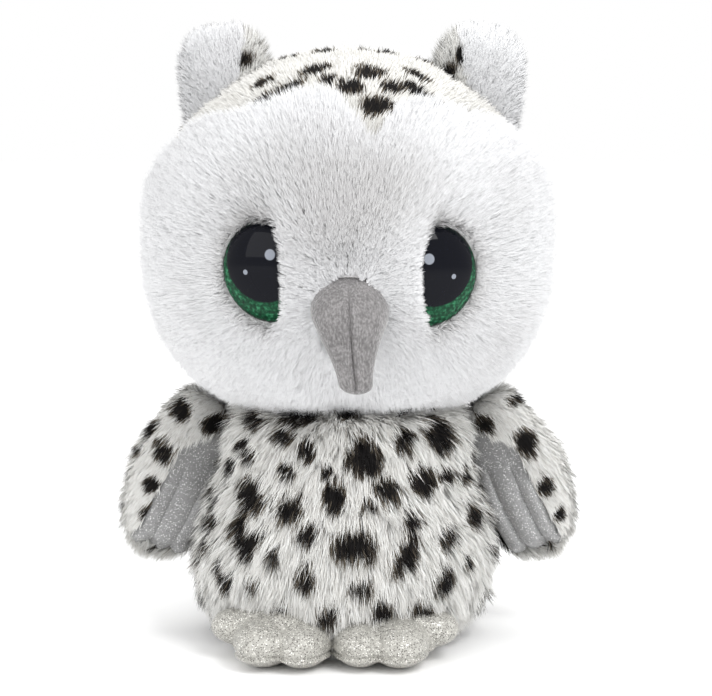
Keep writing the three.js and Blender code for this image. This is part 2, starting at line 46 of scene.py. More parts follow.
# ---- forms, all inside the pile ----
HEAD_CENTRE_Z = 172.0
HEAD_HALF = (76.3, 62.0, 69.0)
JAW_DROP = 71.0  # half height below the middle
CROWN_POWER = 0.95
JAW_POWER = 0.72
SEAM_TILT = math.radians(38.8)
SEAM_DROP = 4.5
NOTCH_X = 8.5  # the notch of the seam sits over the owl's left eye side of the middle
BODY_PROFILE = (
    (42, 3), (49, 9), (55.5, 22), (57.5, 36), (56, 46), (52, 61), (48.5, 73), (47, 83), (45.5, 91),
    (40, 97), (26, 100),
)
EYE = {"x": 31.5, "z": 158.0, "r": 21.0, "dome": 9.0, "sink": 9.0, "yaw": 20.0, "pitch": 5.0}
EYE_SURFACE_Y = -62.2
EYE_SET = {1: (2.4, -1.8), -1: (0.8, 0.0)}  # sewn a little off its drawn place: outward, up
# The plush lid over the inner part of an eye: how far out its edge is at the middle, its slope, its curve.
LID = {1: (-4.7, 0.5, 4.9), -1: (-7.3, 1.4, 3.6)}
BRIDGE_HALF = 27.5
BRIDGE_RISE = 6.5
EAR = {"x": 50.0, "z": 224.0, "half": (14.5, 6.0, 24.0), "lean": 7.0}
WING = {"x": 69.5, "y": 4.0, "z": 69.0, "half": (17.5, 6.0, 32.5), "lean": 17.0, "yaw": 14.0}


# ---- small tools ----
def unit(vectors):
    return vectors / np.maximum(np.linalg.norm(vectors, axis=-1, keepdims=True), 1e-9)


def smooth(values, low, high):
    """0 below low, 1 above high, and a soft step between them."""
    t = np.clip((values - low) / (high - low), 0, 1)
    return t * t * (3 - 2 * t)


def waves(points, scale, seed):
    """A smooth random field from -1 to 1, made of a few sines."""
    rng = np.random.default_rng(seed)
    total = np.zeros(len(points))
    for _ in range(7):
        direction = unit(rng.normal(size=3))
        total += np.sin(points @ direction * rng.uniform(0.6, 1.6) / scale + rng.uniform(0, 6.3))
    return total / 3.2


def turn(axis, degrees):
    return np.array(Matrix.Rotation(math.radians(degrees), 3, axis))


def new_object(name, verts, faces, materials, shade=True):
    """A mesh object from points in millimetres."""
    mesh = bpy.data.meshes.new(name)
    mesh.from_pydata((np.asarray(verts) * MM).tolist(), [], faces)
    mesh.validate()
    for material in materials:
        mesh.materials.append(material)
    if shade:
        mesh.shade_smooth()
    obj = bpy.data.objects.new(name, mesh)
    bpy.context.scene.collection.objects.link(obj)
    return obj


def grid_faces(rows, cols, closed):
    """Quads of a grid of points, joined round on itself where closed."""
    faces = []
    last = cols if closed else cols - 1
    for i in range(rows - 1):
        for j in range(last):
            k = (j + 1) % cols
            faces.append((i * cols + j, i * cols + k, (i + 1) * cols + k, (i + 1) * cols + j))
    return faces


class Form:
    """A surface that pile grows on: points, quads, normals and which points grow hair."""

    def __init__(self, verts, faces, outward):
        self.verts = np.asarray(verts, float)
        self.faces = faces
        quads = np.array(faces)
        self.triangles = np.concatenate([quads[:, [0, 1, 2]], quads[:, [0, 2, 3]]])
        self.normals = self.vertex_normals(outward)
        self.grows = np.ones(len(self.verts), bool)

    def vertex_normals(self, outward):
        a, b, c = (self.verts[self.triangles[:, i]] for i in range(3))
        face = np.cross(b - a, c - a)
        normals = np.zeros_like(self.verts)
        for i in range(3):
            np.add.at(normals, self.triangles[:, i], face)
        normals = unit(normals)
        flip = (normals * (self.verts - outward)).sum(1)
        return normals if flip.sum() > 0 else -normals

    def scatter(self, count, rng, keep):
        """Random points by area, with their normals, on the triangles that grow hair."""
        tri = self.triangles[self.grows[self.triangles].all(1)]
        centres = self.verts[tri].mean(1)
        tri = tri[keep(centres)]
        a, b, c = (self.verts[tri[:, i]] for i in range(3))
        area = np.linalg.norm(np.cross(b - a, c - a), axis=1)
        chosen = rng.choice(len(tri), count, p=area / area.sum())
        u, v = rng.random(count), rng.random(count)
        over = u + v > 1
        u[over], v[over] = 1 - u[over], 1 - v[over]
        weights = np.stack([1 - u - v, u, v], 1)[:, :, None]
        points = (self.verts[tri[chosen]] * weights).sum(1)
        normals = unit((self.normals[tri[chosen]] * weights).sum(1))
        return points, normals


# ---- materials ----
GLITTER_SCALE = 1500.0  # flakes in a metre
SPARKLE_SCALE = 1550.0


def plain(name, colour, roughness, **sockets):
    """One even Principled finish, for pile whose detail is in its hairs."""
    material = bpy.data.materials.new(name)
    material.use_nodes = True
    shader = material.node_tree.nodes["Principled BSDF"]
    shader.inputs["Base Color"].default_value = (*colour, 1)
    shader.inputs["Roughness"].default_value = roughness
    for socket, value in sockets.items():
        shader.inputs[socket.replace("_", " ")].default_value = value
    return material


def hair(name, colour):
    sheen = 0.3 if max(colour) > 0.4 else 0.0
    return plain(name, colour, 0.8, Specular_IOR_Level=0.2, Sheen_Weight=sheen, Sheen_Roughness=0.4)


class Nodes:
    """Short ways to add nodes to one material."""

    def __init__(self, name):
        self.material = bpy.data.materials.new(name)
        self.material.use_nodes = True
        self.tree = self.material.node_tree
        self.shader = self.tree.nodes["Principled BSDF"]
        self.place = self.add("ShaderNodeTexCoord").outputs["Object"]

    def add(self, kind, **settings):
        node = self.tree.nodes.new(kind)
        for key, value in settings.items():
            setattr(node, key, value)
        return node

    def link(self, source, target):
        self.tree.links.new(source, target)

    def feed(self, socket, value):
        """Links a socket to another, or sets it to a number or colour."""
        if isinstance(value, bpy.types.NodeSocket):
            self.link(value, socket)
        else:
            socket.default_value = value

    def put(self, name, value):
        self.feed(self.shader.inputs[name], value)

    def noise(self, scale, detail=2.0, stretch=None):
        node = self.add("ShaderNodeTexNoise")
        node.inputs["Scale"].default_value = scale
        node.inputs["Detail"].default_value = detail
        self.link(self.stretched(stretch), node.inputs["Vector"])
        return node.outputs["Fac"]

    def stretched(self, stretch):
        if stretch is None:
            return self.place
        node = self.add("ShaderNodeMapping")
        node.inputs["Scale"].default_value = stretch
        self.link(self.place, node.inputs["Vector"])
        return node.outputs["Vector"]

    def cells(self, scale):
        """A random value for each small cell, and the distance to the cell's middle."""
        node = self.add("ShaderNodeTexVoronoi")
        node.inputs["Scale"].default_value = scale
        self.link(self.place, node.inputs["Vector"])
        split = self.add("ShaderNodeSeparateColor")
        self.link(node.outputs["Color"], split.inputs["Color"])
        return split.outputs["Red"], node.outputs["Distance"]

    def maths(self, operation, a, b=0.0):
        node = self.add("ShaderNodeMath", operation=operation)
        self.feed(node.inputs[0], a)
        self.feed(node.inputs[1], b)
        return node.outputs["Value"]

    def ramp(self, source, stops, step=False):
        node = self.add("ShaderNodeValToRGB")
        node.color_ramp.interpolation = "CONSTANT" if step else "LINEAR"
        elements = node.color_ramp.elements
        while len(elements) < len(stops):
            elements.new(0.5)
        for element, (place, colour) in zip(elements, stops):
            element.position = place
            element.color = (*colour, 1) if len(colour) == 3 else colour
        self.link(source, node.inputs["Fac"])
        return node.outputs["Color"]

    def mix(self, factor, a, b):
        node = self.add("ShaderNodeMix", data_type="RGBA")
        self.feed(node.inputs[0], factor)
        for socket, value in ((node.inputs[6], a), (node.inputs[7], b)):
            self.feed(socket, (*value, 1) if isinstance(value, tuple) else value)
        return node.outputs[2]

    def bump(self, height, strength, distance):
        node = self.add("ShaderNodeBump")
        node.inputs["Strength"].default_value = strength
        node.inputs["Distance"].default_value = distance
        self.link(height, node.inputs["Height"])
        self.link(node.outputs["Normal"], self.shader.inputs["Normal"])


def grey(level):
    return (level, level, level)


def knit_backing(name, dark, light):
    """The knitted cloth that pile grows out of."""
    m = Nodes(name)
    fine = m.noise(1500, 3)
    m.put("Base Color", m.ramp(fine, [(0.3, dark), (0.7, light)]))
    m.put("Roughness", 0.95)
    m.put("Sheen Weight", 0.3)
    m.bump(fine, 0.4, 0.0006)
    return m.material


def dots(m, scale, size):
    """A small round dot in each cell of the cloth, and a random value for each."""
    value, distance = m.cells(scale)
    return m.ramp(distance, [(size * 0.8, grey(1)), (size, grey(0))]), value


def glitter_cloth():
    """Champagne fabric covered in small dark and bright flakes."""
    m = Nodes("champagne_glitter")
    dot, value = dots(m, GLITTER_SCALE, 0.42)
    ground = m.ramp(m.noise(500, 3), [(0.3, (0.38, 0.37, 0.34)), (0.7, (0.52, 0.51, 0.47))])
    flake = m.ramp(value, [
        (0.0, (0.10, 0.095, 0.085)), (0.45, (0.24, 0.23, 0.21)), (0.68, (0.80, 0.79, 0.74)),
        (0.80, (1.0, 0.99, 0.95)),
    ], step=True)
    m.put("Base Color", m.mix(dot, ground, flake))
    m.put("Roughness", m.ramp(dot, [(0.0, grey(0.5)), (1.0, grey(0.28))]))
    m.put("Metallic", m.ramp(dot, [(0.0, grey(0.1)), (1.0, grey(0.5))]))
    m.bump(dot, 0.5, 0.0003)
    return m.material


def sparkle_cloth():
    """Grey satin with a fine weave and bright points."""
    m = Nodes("grey_sparkle")
    dot, value = dots(m, SPARKLE_SCALE, 0.34)
    cloth = m.ramp(m.noise(60, 2), [(0.3, grey(0.21)), (0.7, grey(0.29))])
    bright = m.ramp(value, [
        (0.0, grey(0.14)), (0.2, grey(0.42)), (0.5, grey(0.7)), (0.78, grey(1.0)),
    ], step=True)
    m.put("Base Color", m.mix(dot, cloth, bright))
    m.put("Roughness", m.ramp(dot, [(0.0, grey(0.5)), (1.0, grey(0.25))]))
    m.put("Sheen Weight", 0.3)
    m.bump(m.noise(1200, 2), 0.35, 0.0003)
    return m.material


def velour():
    """Short grey nap that is brushed unevenly."""
    m = Nodes("grey_velour")
    nap = m.noise(1050, 5, (1.2, 1.0, 0.7))
    broad = m.noise(90, 2)
    tone = m.maths("ADD", m.maths("MULTIPLY", nap, 0.75), m.maths("MULTIPLY", broad, 0.25))
    m.put("Base Color", m.ramp(tone, [
        (0.36, (0.115, 0.110, 0.110)), (0.5, (0.185, 0.178, 0.178)), (0.64, (0.29, 0.28, 0.28)),
    ]))
    m.put("Roughness", 0.9)
    m.put("Sheen Weight", 0.6)
    m.put("Sheen Roughness", 0.35)
    m.bump(nap, 0.7, 0.0008)
    return m.material


def eye_gloss(side):
    """Pupil, green glitter crescent and printed light dots under a glossy dome."""
    m = Nodes("owl_eye")
    across = m.add("ShaderNodeSeparateXYZ")
    m.link(m.place, across.inputs["Vector"])
    x, y = across.outputs["X"], across.outputs["Y"]

    def away(cx, cy):
        dx = m.maths("SUBTRACT", x, cx * MM)
        dy = m.maths("SUBTRACT", y, cy * MM)
        squares = m.maths("ADD", m.maths("MULTIPLY", dx, dx), m.maths("MULTIPLY", dy, dy))
        return m.maths("SQRT", squares)

    fibres = m.noise(700, 4)
    green = m.ramp(fibres, [
        (0.30, (0.002, 0.018, 0.009)), (0.52, (0.006, 0.060, 0.026)), (0.72, (0.04, 0.21, 0.10)),
    ])
    from_pupil = m.maths("MULTIPLY", away(0.9 * side, 5.4), 1 / (20 * MM))
    in_iris = m.ramp(from_pupil, [(0.82, grey(0)), (0.85, grey(1))])
    base = m.mix(in_iris, (0.0025, 0.003, 0.006), green)
    rim = m.ramp(m.maths("MULTIPLY", away(0, 0), 1 / (22 * MM)), [(0.88, grey(0)), (0.94, grey(1))])
    base = m.mix(rim, base, (0.003, 0.012, 0.008))
    for cx, cy, r in ((-2.2 * side, 7.9, 2.1), (8.4 * side, 0.6, 1.0)):
        spread = m.maths("MULTIPLY", away(cx, cy), 1 / (2 * r * MM))
        dot = m.ramp(spread, [(0.46, grey(1)), (0.54, grey(0))])
        base = m.mix(dot, base, (0.25, 0.27, 0.31))
    m.put("Base Color", base)
    m.put("Roughness", 0.08)
    m.put("Specular IOR Level", 0.06)
    m.put("Coat Weight", 0.14)
    m.put("Coat Roughness", 0.02)
    return m.material


def moulded(name, colour, roughness, speck=0.12):
    """Moulded plastic with a fine spark-eroded grain."""
    m = Nodes(name)
    grain = m.noise(900, 3)
    dark = tuple(c * (1 - speck) for c in colour)
    m.put("Base Color", m.ramp(grain, [(0.3, dark), (0.7, colour)]))
    m.put("Roughness", m.ramp(grain, [(0.3, grey(roughness)), (0.7, grey(min(1, roughness + 0.15)))]))
    m.bump(grain, 0.15, 0.0002)
    return m.material


def turned_steel():
    m = Nodes("turned_steel")
    lines = m.noise(700, 2, (0.2, 0.2, 6.0))
    m.put("Base Color", m.ramp(lines, [(0.3, grey(0.45)), (0.7, grey(0.62))]))
    m.put("Metallic", 1.0)
    m.put("Roughness", m.ramp(lines, [(0.3, grey(0.25)), (0.7, grey(0.4))]))
    return m.material


def fibre_filling():
    m = Nodes("fibre_filling")
    tangle = m.noise(260, 6)
    m.put("Base Color", m.ramp(tangle, [(0.3, grey(0.72)), (0.65, grey(0.95))]))
    m.put("Roughness", 1.0)
    m.bump(tangle, 0.9, 0.002)
    return m.material


# ---- pile ----
STATIONS = (0.0, 0.36, 0.72, 1.0)
RIBBON_WIDTHS = (0.85, 1.0, 0.7)
QUADS = np.array(((0, 1, 3, 2), (2, 3, 5, 4))).ravel()
STRAND_CORNERS = np.concatenate([QUADS, (4, 5, 6)])
STRAND_STARTS = np.array((0, 4, 8))
STRAND_POINTS = 7


def nearest_tuft(roots, rng, per_tuft):
    """The index of the tuft that each hair leans to."""
    tufts = rng.choice(len(roots), max(1, len(roots) // per_tuft), replace=False)
    tree = kdtree.KDTree(len(tufts))
    for i, root in enumerate(roots[tufts]):
        tree.insert(root, i)
    tree.balance()
    return tufts, np.array([tree.find(root)[1] for root in roots])


def strand_points(roots, normals, comb, length, style, rng):
    """Seven points and seven normals for each hair: three pairs and a tip."""
    count = len(roots)
    comb = unit(comb - normals * (comb * normals).sum(1, keepdims=True))
    tufts, near = nearest_tuft(roots, rng, style["per_tuft"])
    ways = []
    for lift, jitter in zip(style["lift"], style["jitter"]):
        way = normals * math.sin(math.radians(lift)) + comb * math.cos(math.radians(lift))
        shared = rng.normal(0, style["tuft_jitter"], (len(tufts), 3))[near]
        ways.append(unit(way + rng.normal(0, jitter, (count, 3)) + shared))
    start, end = ways
    gather = (roots[tufts][near] - roots) * style["gather"]
    roll = rng.uniform(-1, 1, (count, 1)) * math.radians(style["roll"])
    width = style["width"] * rng.uniform(0.75, 1.25, (count, 1))
    points = np.zeros((count, STRAND_POINTS, 3))
    shading = np.zeros((count, STRAND_POINTS, 3))
    for i, s in enumerate(STATIONS):
        middle = roots + length[:, None] * (s * start + 0.5 * s * s * (end - start)) + gather * s * s
        along = unit(start + s * (end - start))
        side = unit(np.cross(along, normals) + 1e-6)
        side = side * np.cos(roll) + np.cross(along, side) * np.sin(roll)
        facing = np.cross(side, along)
        facing *= np.sign((facing * normals).sum(1, keepdims=True) + 1e-9)
        lit = unit(style["soft"] * normals + (1 - style["soft"]) * facing)
        if i < len(RIBBON_WIDTHS):
            half = side * width * RIBBON_WIDTHS[i] / 2
            points[:, 2 * i] = middle - half
            points[:, 2 * i + 1] = middle + half
            shading[:, 2 * i] = lit
            shading[:, 2 * i + 1] = lit
        else:
            points[:, 6] = middle
            shading[:, 6] = lit
    return points, shading, roots + length[:, None] * 0.72 * unit(start + end)


def strand_object(name, points, shading, tones, materials):
    count = len(points)
    mesh = bpy.data.meshes.new(name)
    mesh.vertices.add(count * STRAND_POINTS)
    mesh.vertices.foreach_set("co", (points * MM).astype(np.float32).ravel())
    index = np.arange(count)[:, None]
    corners = (index * STRAND_POINTS + STRAND_CORNERS).ravel()
    starts = (index * len(STRAND_CORNERS) + STRAND_STARTS).ravel()
    mesh.loops.add(len(corners))
    mesh.polygons.add(len(starts))
    mesh.polygons.foreach_set("loop_start", starts.astype(np.int32))
    mesh.loops.foreach_set("vertex_index", corners.astype(np.int32))
    mesh.polygons.foreach_set("material_index", np.repeat(tones, 3).astype(np.int32))
    mesh.update(calc_edges=True)
    normal = mesh.attributes.new("custom_normal", "FLOAT_VECTOR", "POINT")
    normal.data.foreach_set("vector", shading.astype(np.float32).ravel())
    for material in materials:
        mesh.materials.append(material)
    obj = bpy.data.objects.new(name, mesh)
    bpy.context.scene.collection.objects.link(obj)
    return obj


PILE = {
    "lift": (68, 32), "jitter": (0.12, 0.16), "tuft_jitter": 0.09, "gather": 0.3,
    "per_tuft": 60, "roll": 45, "width": 0.3, "soft": 0.85,
}


FLOOR_CLEAR = 0.2  # hair that would reach the floor lies on it


def grow(name, form, count, seed, keep, comb, length, tone, palette, **changes):
    """Pile on a form. comb, length and tone are functions of the hairs' roots or middles."""
    rng = np.random.default_rng(seed)
    style = {**PILE, **changes}
    roots, normals = form.scatter(count, rng, keep)
    lengths = length(roots) * rng.uniform(0.78, 1.15, count)
    points, shading, middles = strand_points(roots, normals, comb(roots), lengths, style, rng)
    points[:, :, 2] = np.maximum(points[:, :, 2], FLOOR_CLEAR)
    return strand_object(name, points, shading, tone(middles, rng), palette)


# ---- spots ----
def spot_depth(u, w, spots):
    """How far inside the nearest spot each point is: 1 at a spot's middle, 0 at its edge, then less."""
    best = np.full(len(u), -9.0)
    for x, z, half_wide, half_high, tilt in spots:
        c, s = math.cos(math.radians(tilt)), math.sin(math.radians(tilt))
        du, dw = u - x, w - z
        along, over = du * c + dw * s, dw * c - du * s
        best = np.maximum(best, 1 - (along / half_wide) ** 2 - (over / half_high) ** 2)
    return best


def strewn_spots(seed, u_range, w_range, pitch, size):
    """Oval spots on a loose grid."""
    rng = np.random.default_rng(seed)
    spots = []
    for i, w in enumerate(np.arange(*w_range, pitch)):
        for u in np.arange(*u_range, pitch):
            if rng.random() > 0.86:
                continue
            middle_u = u + (i % 2) * pitch / 2 + rng.normal(0, pitch * 0.17)
            middle_w = w + rng.normal(0, pitch * 0.17)
            half = rng.uniform(*size)
            spots.append((middle_u, middle_w, half, half * rng.uniform(0.9, 1.5), rng.uniform(-35, 35)))
    return spots


SPOT_TONES = 3  # the first tones of a spotted palette are its light ones


PALE_MIX = (0.5, 0.32, 0.18)  # how much of each light tone
CROWN_MIX = (0.1, 0.4, 0.5)


def spotted_tone(depth, points, rng, mix=PALE_MIX):
    """Light, brown or black for each hair, with a ragged soft edge to each spot."""
    count = len(points)
    ragged = depth + 0.3 * waves(points, 2.2, 5) + rng.normal(0, 0.24, count)
    light = rng.choice(3, count, p=mix)
    tone = np.where(ragged > 0.0, SPOT_TONES, light)
    tone = np.where(ragged > 0.25, SPOT_TONES + 1, tone)
    return np.where(ragged > 0.5, SPOT_TONES + 2, tone)


def spotted_palette():
    return [
        hair("pile_cream", (0.85, 0.85, 0.83)), hair("pile_ivory", (0.77, 0.76, 0.73)),
        hair("pile_pale_grey", (0.66, 0.65, 0.62)), hair("pile_olive_brown", (0.14, 0.118, 0.09)),
        hair("pile_dark_brown", (0.032, 0.026, 0.020)), hair("pile_black", (0.007, 0.006, 0.006)),
    ]


def white_palette():
    # The two darker whites serve mostly as painted shade on the forehead and round the eyes.
    return [
        hair("pile_white", (0.88, 0.885, 0.895)), hair("pile_soft_white", (0.81, 0.81, 0.82)),
        hair("pile_shade", (0.73, 0.73, 0.735)), hair("pile_grey_painted_shade", (0.62, 0.615, 0.615)),
    ]


# ---- head ----
def eye_frame(side):
    axes = turn("Z", side * EYE["yaw"]) @ turn("X", 90 + EYE["pitch"])
    apex = np.array((side * EYE["x"], EYE_SURFACE_Y + AXIS_Y, EYE["z"]))
    out, up = EYE_SET[side]
    return apex + side * out * axes[:, 0] + up * axes[:, 1] - EYE["sink"] * axes[:, 2], axes


def in_eye(points, side):
    """Points as seen from an eye's rim: outward, up, and out of the face."""
    centre, axes = eye_frame(side)
    return ((points - centre) @ axes) * (side, 1, 1)


def from_eye(local, side):
    centre, axes = eye_frame(side)
    return (local * (side, 1, 1)) @ axes.T + centre


def lid_edge(up, side):
    """How far outward the plush covers an eye, at each height on the eye."""
    middle, slope, curve = LID[side]
    return middle + slope * (up / EYE["r"]) + curve * (up / EYE["r"]) ** 2


BEAK_MIDDLE_Z = 139.0


def beak_distance(points):
    """1 on the line where the beak meets the face, and less inside it."""
    return np.hypot(points[:, 0] / 13.5, (points[:, 2] - BEAK_MIDDLE_Z) / 19.0)


def head_form():
    rows, cols = 120, 216
    latitude = np.radians(np.linspace(-75, 89.5, rows))[:, None]
    around = np.linspace(0, 2 * math.pi, cols, endpoint=False)[None, :]
    power = np.where(latitude < 0, JAW_POWER, CROWN_POWER)
    radius = np.abs(np.cos(latitude)) ** power
    height = np.sign(latitude) * np.abs(np.sin(latitude)) ** power
    x = HEAD_HALF[0] * radius * np.cos(around)
    y = HEAD_HALF[1] * radius * np.sin(around) + AXIS_Y
    half_z = np.where(latitude < 0, JAW_DROP, HEAD_HALF[2])
    z = half_z * height + HEAD_CENTRE_Z + 0 * around
    points = np.stack([x, y, z], -1).reshape(-1, 3)
    x, y, z = points.T
    front = y < 0
    spread = 5.0 + 22.0 * (smooth(z, 166, 186) + 1 - smooth(z, 134, 150))
    bridge = 1 - smooth(np.abs(x), BRIDGE_HALF - 4 - 0.5 * (spread - 5), BRIDGE_HALF - 4 + spread)
    bridge *= smooth(z, 118, 150) * (1 - smooth(z, 168, 206))
    points[:, 1] -= np.where(front, BRIDGE_RISE * bridge, 0)
    bare = front & (beak_distance(points) < 0.72 + 0.20 * smooth(z, 142, 152))
    for _, side in SIDES:
        local = in_eye(points, side)
        hole = (np.hypot(local[:, 0], local[:, 1]) < EYE["r"] - 0.4) & front
        hole &= local[:, 0] > lid_edge(local[:, 1], side)
        local[hole, 2] = -2.6
        points[hole] = from_eye(local[hole], side)
        bare |= hole
    form = Form(points, grid_faces(rows, cols, True), np.array((0, AXIS_Y, HEAD_CENTRE_Z)))
    form.grows = ~bare
    return form


def past_seam_plane(points):
    """How far a point is past the tilted plane that the seam of the crown follows."""
    _, y, z = points.T
    return (y - AXIS_Y) * math.cos(SEAM_TILT) + (z - HEAD_CENTRE_Z) * math.sin(SEAM_TILT)


def behind_seam(points):
    """How far behind the seam between the face and the crown a point is. The seam has two lobes."""
    x = points[:, 0]
    flat = past_seam_plane(points)
    notch = 17.0 * np.exp(-((x - NOTCH_X) / 8.5) ** 2)
    lobes = 2.0 * np.exp(-((np.abs(x - NOTCH_X) - 22) / 10.0) ** 2)
    return flat + SEAM_DROP + notch - lobes - 6.0 * smooth(np.abs(x), 36, 56)


def face_comb(points):
    x, _, z = points.T
    back = 0.9 * smooth(np.abs(x), 34, 68)
    out = np.stack([x / 60, back, np.clip((z - 146) / 26, -1, 1)], 1)
    for _, side in SIDES:
        local = in_eye(points, side)
        away = np.stack([local[:, 0], local[:, 1], np.zeros_like(x)], 1)
        gap = np.hypot(local[:, 0], local[:, 1]) - EYE["r"]
        weight = 1.4 * np.exp(-((gap / 7) ** 2)) * smooth(local[:, 0], -9, 7) * (gap > -3)
        _, axes = eye_frame(side)
        out += weight[:, None] * ((unit(away) * (side, 1, 1)) @ axes.T)
        inner = (1 - smooth(local[:, 0], -3, 7)) * (1 - smooth(gap, -3, 7))
        out += inner[:, None] * np.array((0.9 * side, 0, 0.25))
    near_beak = np.exp(-(((beak_distance(points) - 1) / 0.35) ** 2))
    out += near_beak[:, None] * np.stack([x / 14, 0 * x, (z - BEAK_MIDDLE_Z) / 14], 1)
    return out


def face_length(points):
    length = np.full(len(points), 11.0)
    for _, side in SIDES:
        local = in_eye(points, side)
        gap = np.hypot(local[:, 0], local[:, 1]) - EYE["r"]
        past_lid = local[:, 0] - lid_edge(local[:, 1], side)
        near = np.where(past_lid > 0, 4.2, 3.4 + 0.35 * np.maximum(-past_lid, 0))
        length = np.minimum(length, near + 0.6 * np.maximum(gap, 0))
    x, _, z = points.T
    aside = smooth(np.abs(x), BRIDGE_HALF - 5, BRIDGE_HALF + 6) * 6
    length = np.minimum(length, 5.5 + aside + 7 * smooth(z, 172, 198) + 7 * (1 - smooth(z, 118, 140)))
    return np.minimum(length, 4.8 + 10 * np.maximum(beak_distance(points) - 1, 0))


def face_tone_and_painted_shade(points, rng):
    x, _, z = points.T
    # The greyer patch on the forehead is painted shade on the white pile; the waves and the random part
    # further down are the pile's own uneven tone.
    shade = 1.25 * np.exp(-((x / 38) ** 2) - ((z - 190) / 27) ** 2) + 0.25 * waves(points, 7, 3)
    for _, side in SIDES:
        local = in_eye(points, side)
        gap = np.hypot(local[:, 0], local[:, 1]) - EYE["r"]
        # A greyer ring round the outer side of each eye is painted shade of the hollow that the eye sits in.
        shade += 0.9 * np.exp(-((gap / 6) ** 2)) * smooth(local[:, 0], -6, 4) * (local[:, 2] > -12)
    shade += rng.normal(0, 0.25, len(points))
    tone = np.where(shade > 0.15, 1, 0)
    tone = np.where(shade > 0.5, 2, tone)
    return np.where(shade > 0.95, 3, tone)


# Spots on the front of the crown: across, how far behind the seam's plane, half sizes, tilt.
CROWN_SPOTS = (
    (11, -4, 7, 5.2, 10), (1, 6, 6.5, 4.6, 20), (17, 8, 5.5, 4.2, -30), (9, 16, 8, 5, 0),
    (26, 9, 6, 3.2, -35), (-8, 11, 4.4, 3, 30), (-22, 10, 7.5, 3.4, 25), (-33, 5, 5.5, 3, 35),
    (36, 3, 6, 3.4, -35), (46, -4, 5.5, 3.4, -45), (-45, -3, 4, 3, 45), (-13, 19, 7, 3.6, 25),
    (28, 19, 6.5, 3.4, -30), (-34, 17, 6, 3.4, 30), (53, -12, 3.6, 3.6, -50), (-54, -12, 3.6, 3.6, 50),
)


def crown_tone(points, rng):
    x, y, z = points.T
    along = past_seam_plane(points)
    over = np.arctan2(y - AXIS_Y, z - HEAD_CENTRE_Z) * CROWN_RADIUS
    depth = np.where(y < AXIS_Y - 8, spot_depth(x, along, CROWN_SPOTS), spot_depth(x, over, CROWN_STREWN))
    return spotted_tone(depth, points, rng, CROWN_MIX)


CROWN_RADIUS = 64.0  # for measuring over the crown and down the back
CROWN_STREWN = strewn_spots(11, (-80, 90), (-4, 205), 14.0, (2.8, 5.6))


def crown_comb(points):
    x = points[:, 0]
    return np.stack([0.35 * x / 60, np.full_like(x, 0.9), np.full_like(x, -0.2)], 1)


def make_skin(name, form, keep, material):
    """The knitted backing under the pile, cut from the form where keep says."""
    centres = form.verts[np.array(form.faces)].mean(1)
    chosen = keep(centres)
    faces = [face for face, yes in zip(form.faces, chosen) if yes]
    used = sorted({i for face in faces for i in face})
    again = {old: new for new, old in enumerate(used)}
    return new_object(name, form.verts[used], [tuple(again[i] for i in f) for f in faces], [material])


def finish_piece(obj, body, slot, *nodes):
    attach(obj, body)
    if nodes:
        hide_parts(*nodes)
    return obj


BROW_Z = 176.0  # the brow pile is above this, the muzzle and cheek pile below
MUZZLE_Y = -32.0  # the muzzle pile is in front of this
JAW_Y = 6.0  # the jaw pile is behind this


FACE_PILE = (  # name, hairs, whether above the brow line, and from where to where along y
    ("brow", 38000, True, -99.0, JAW_Y), ("muzzle", 36000, False, -99.0, MUZZLE_Y),
    ("cheek", 30000, False, MUZZLE_Y, JAW_Y),
)


def face_regions():
    """The pieces of the face's pile: name, number of hairs, and which points it covers."""
    def covers(p, side, above, front, back):
        half = p[:, 0] > 0 if side > 0 else p[:, 0] <= 0
        return ((p[:, 2] > BROW_Z) == above) & half & (p[:, 1] >= front) & (p[:, 1] < back)

    regions = []
    for kind, count, *extent in FACE_PILE:
        for name, side in SIDES:
            where = (lambda p, s=side, e=extent: covers(p, s, *e))
            regions.append((f"{kind}_pile_{name}", count, where))
    regions.append(("jaw_pile", 20000, lambda p: p[:, 1] >= JAW_Y))
    return regions


def make_head(white, spotted, backing):
    form = head_form()
    face = make_skin("face_backing", form, lambda p: behind_seam(p) <= 0, backing)
    finish_piece(face, "head", "white_plush", "face_panel")
    back = make_skin("hood_backing", form, lambda p: behind_seam(p) > 0, backing)
    finish_piece(back, "head", "spotted_plush", "head_back_panel")

    for seed, (name, count, where) in enumerate(face_regions()):
        pile = grow(name, form, count, 21 + seed, lambda p, w=where: (behind_seam(p) <= 0) & w(p),
                    face_comb, face_length, face_tone_and_painted_shade, white, lift=(74, 46), jitter=(0.1, 0.13),
                    tuft_jitter=0.06, gather=0.22, soft=0.95, roll=35, width=0.33)
        finish_piece(pile, "head", "white_plush")
    hoods = (
        ("crown_pile", 38000, lambda p: p[:, 1] < AXIS_Y + 2),
        ("hood_pile", 38000, lambda p: p[:, 1] >= AXIS_Y + 2),
    )
    for seed, (name, count, where) in enumerate(hoods):
        pile = grow(name, form, count, 61 + seed, lambda p, w=where: (behind_seam(p) > 0) & w(p), crown_comb,
                    lambda p: np.full(len(p), 6.5), crown_tone, spotted, lift=(46, 10), width=0.4)
        finish_piece(pile, "head", "spotted_plush")
    make_head_filling()


def make_head_filling():
    """The loose fibre that fills the head, as a lumpy ball a little inside the backing."""
    bpy.ops.mesh.primitive_ico_sphere_add(subdivisions=5, radius=1)
    obj = bpy.context.object
    obj.name = "head_fibre"
    points = np.array([v.co for v in obj.data.vertices])
    lumps = 1 + 0.012 * waves(points * 50, 6, 8)
    points = points * (70, 56, 60) * lumps[:, None] + (0, AXIS_Y, HEAD_CENTRE_Z)
    points[:, 2] = np.maximum(points[:, 2], 126)
    for vertex, point in zip(obj.data.vertices, points):
        vertex.co = point * MM
    obj.data.materials.append(FIBRE)
    obj.data.shade_smooth()
    finish_piece(obj, "head", "fibre_filling", "head_stuffing")


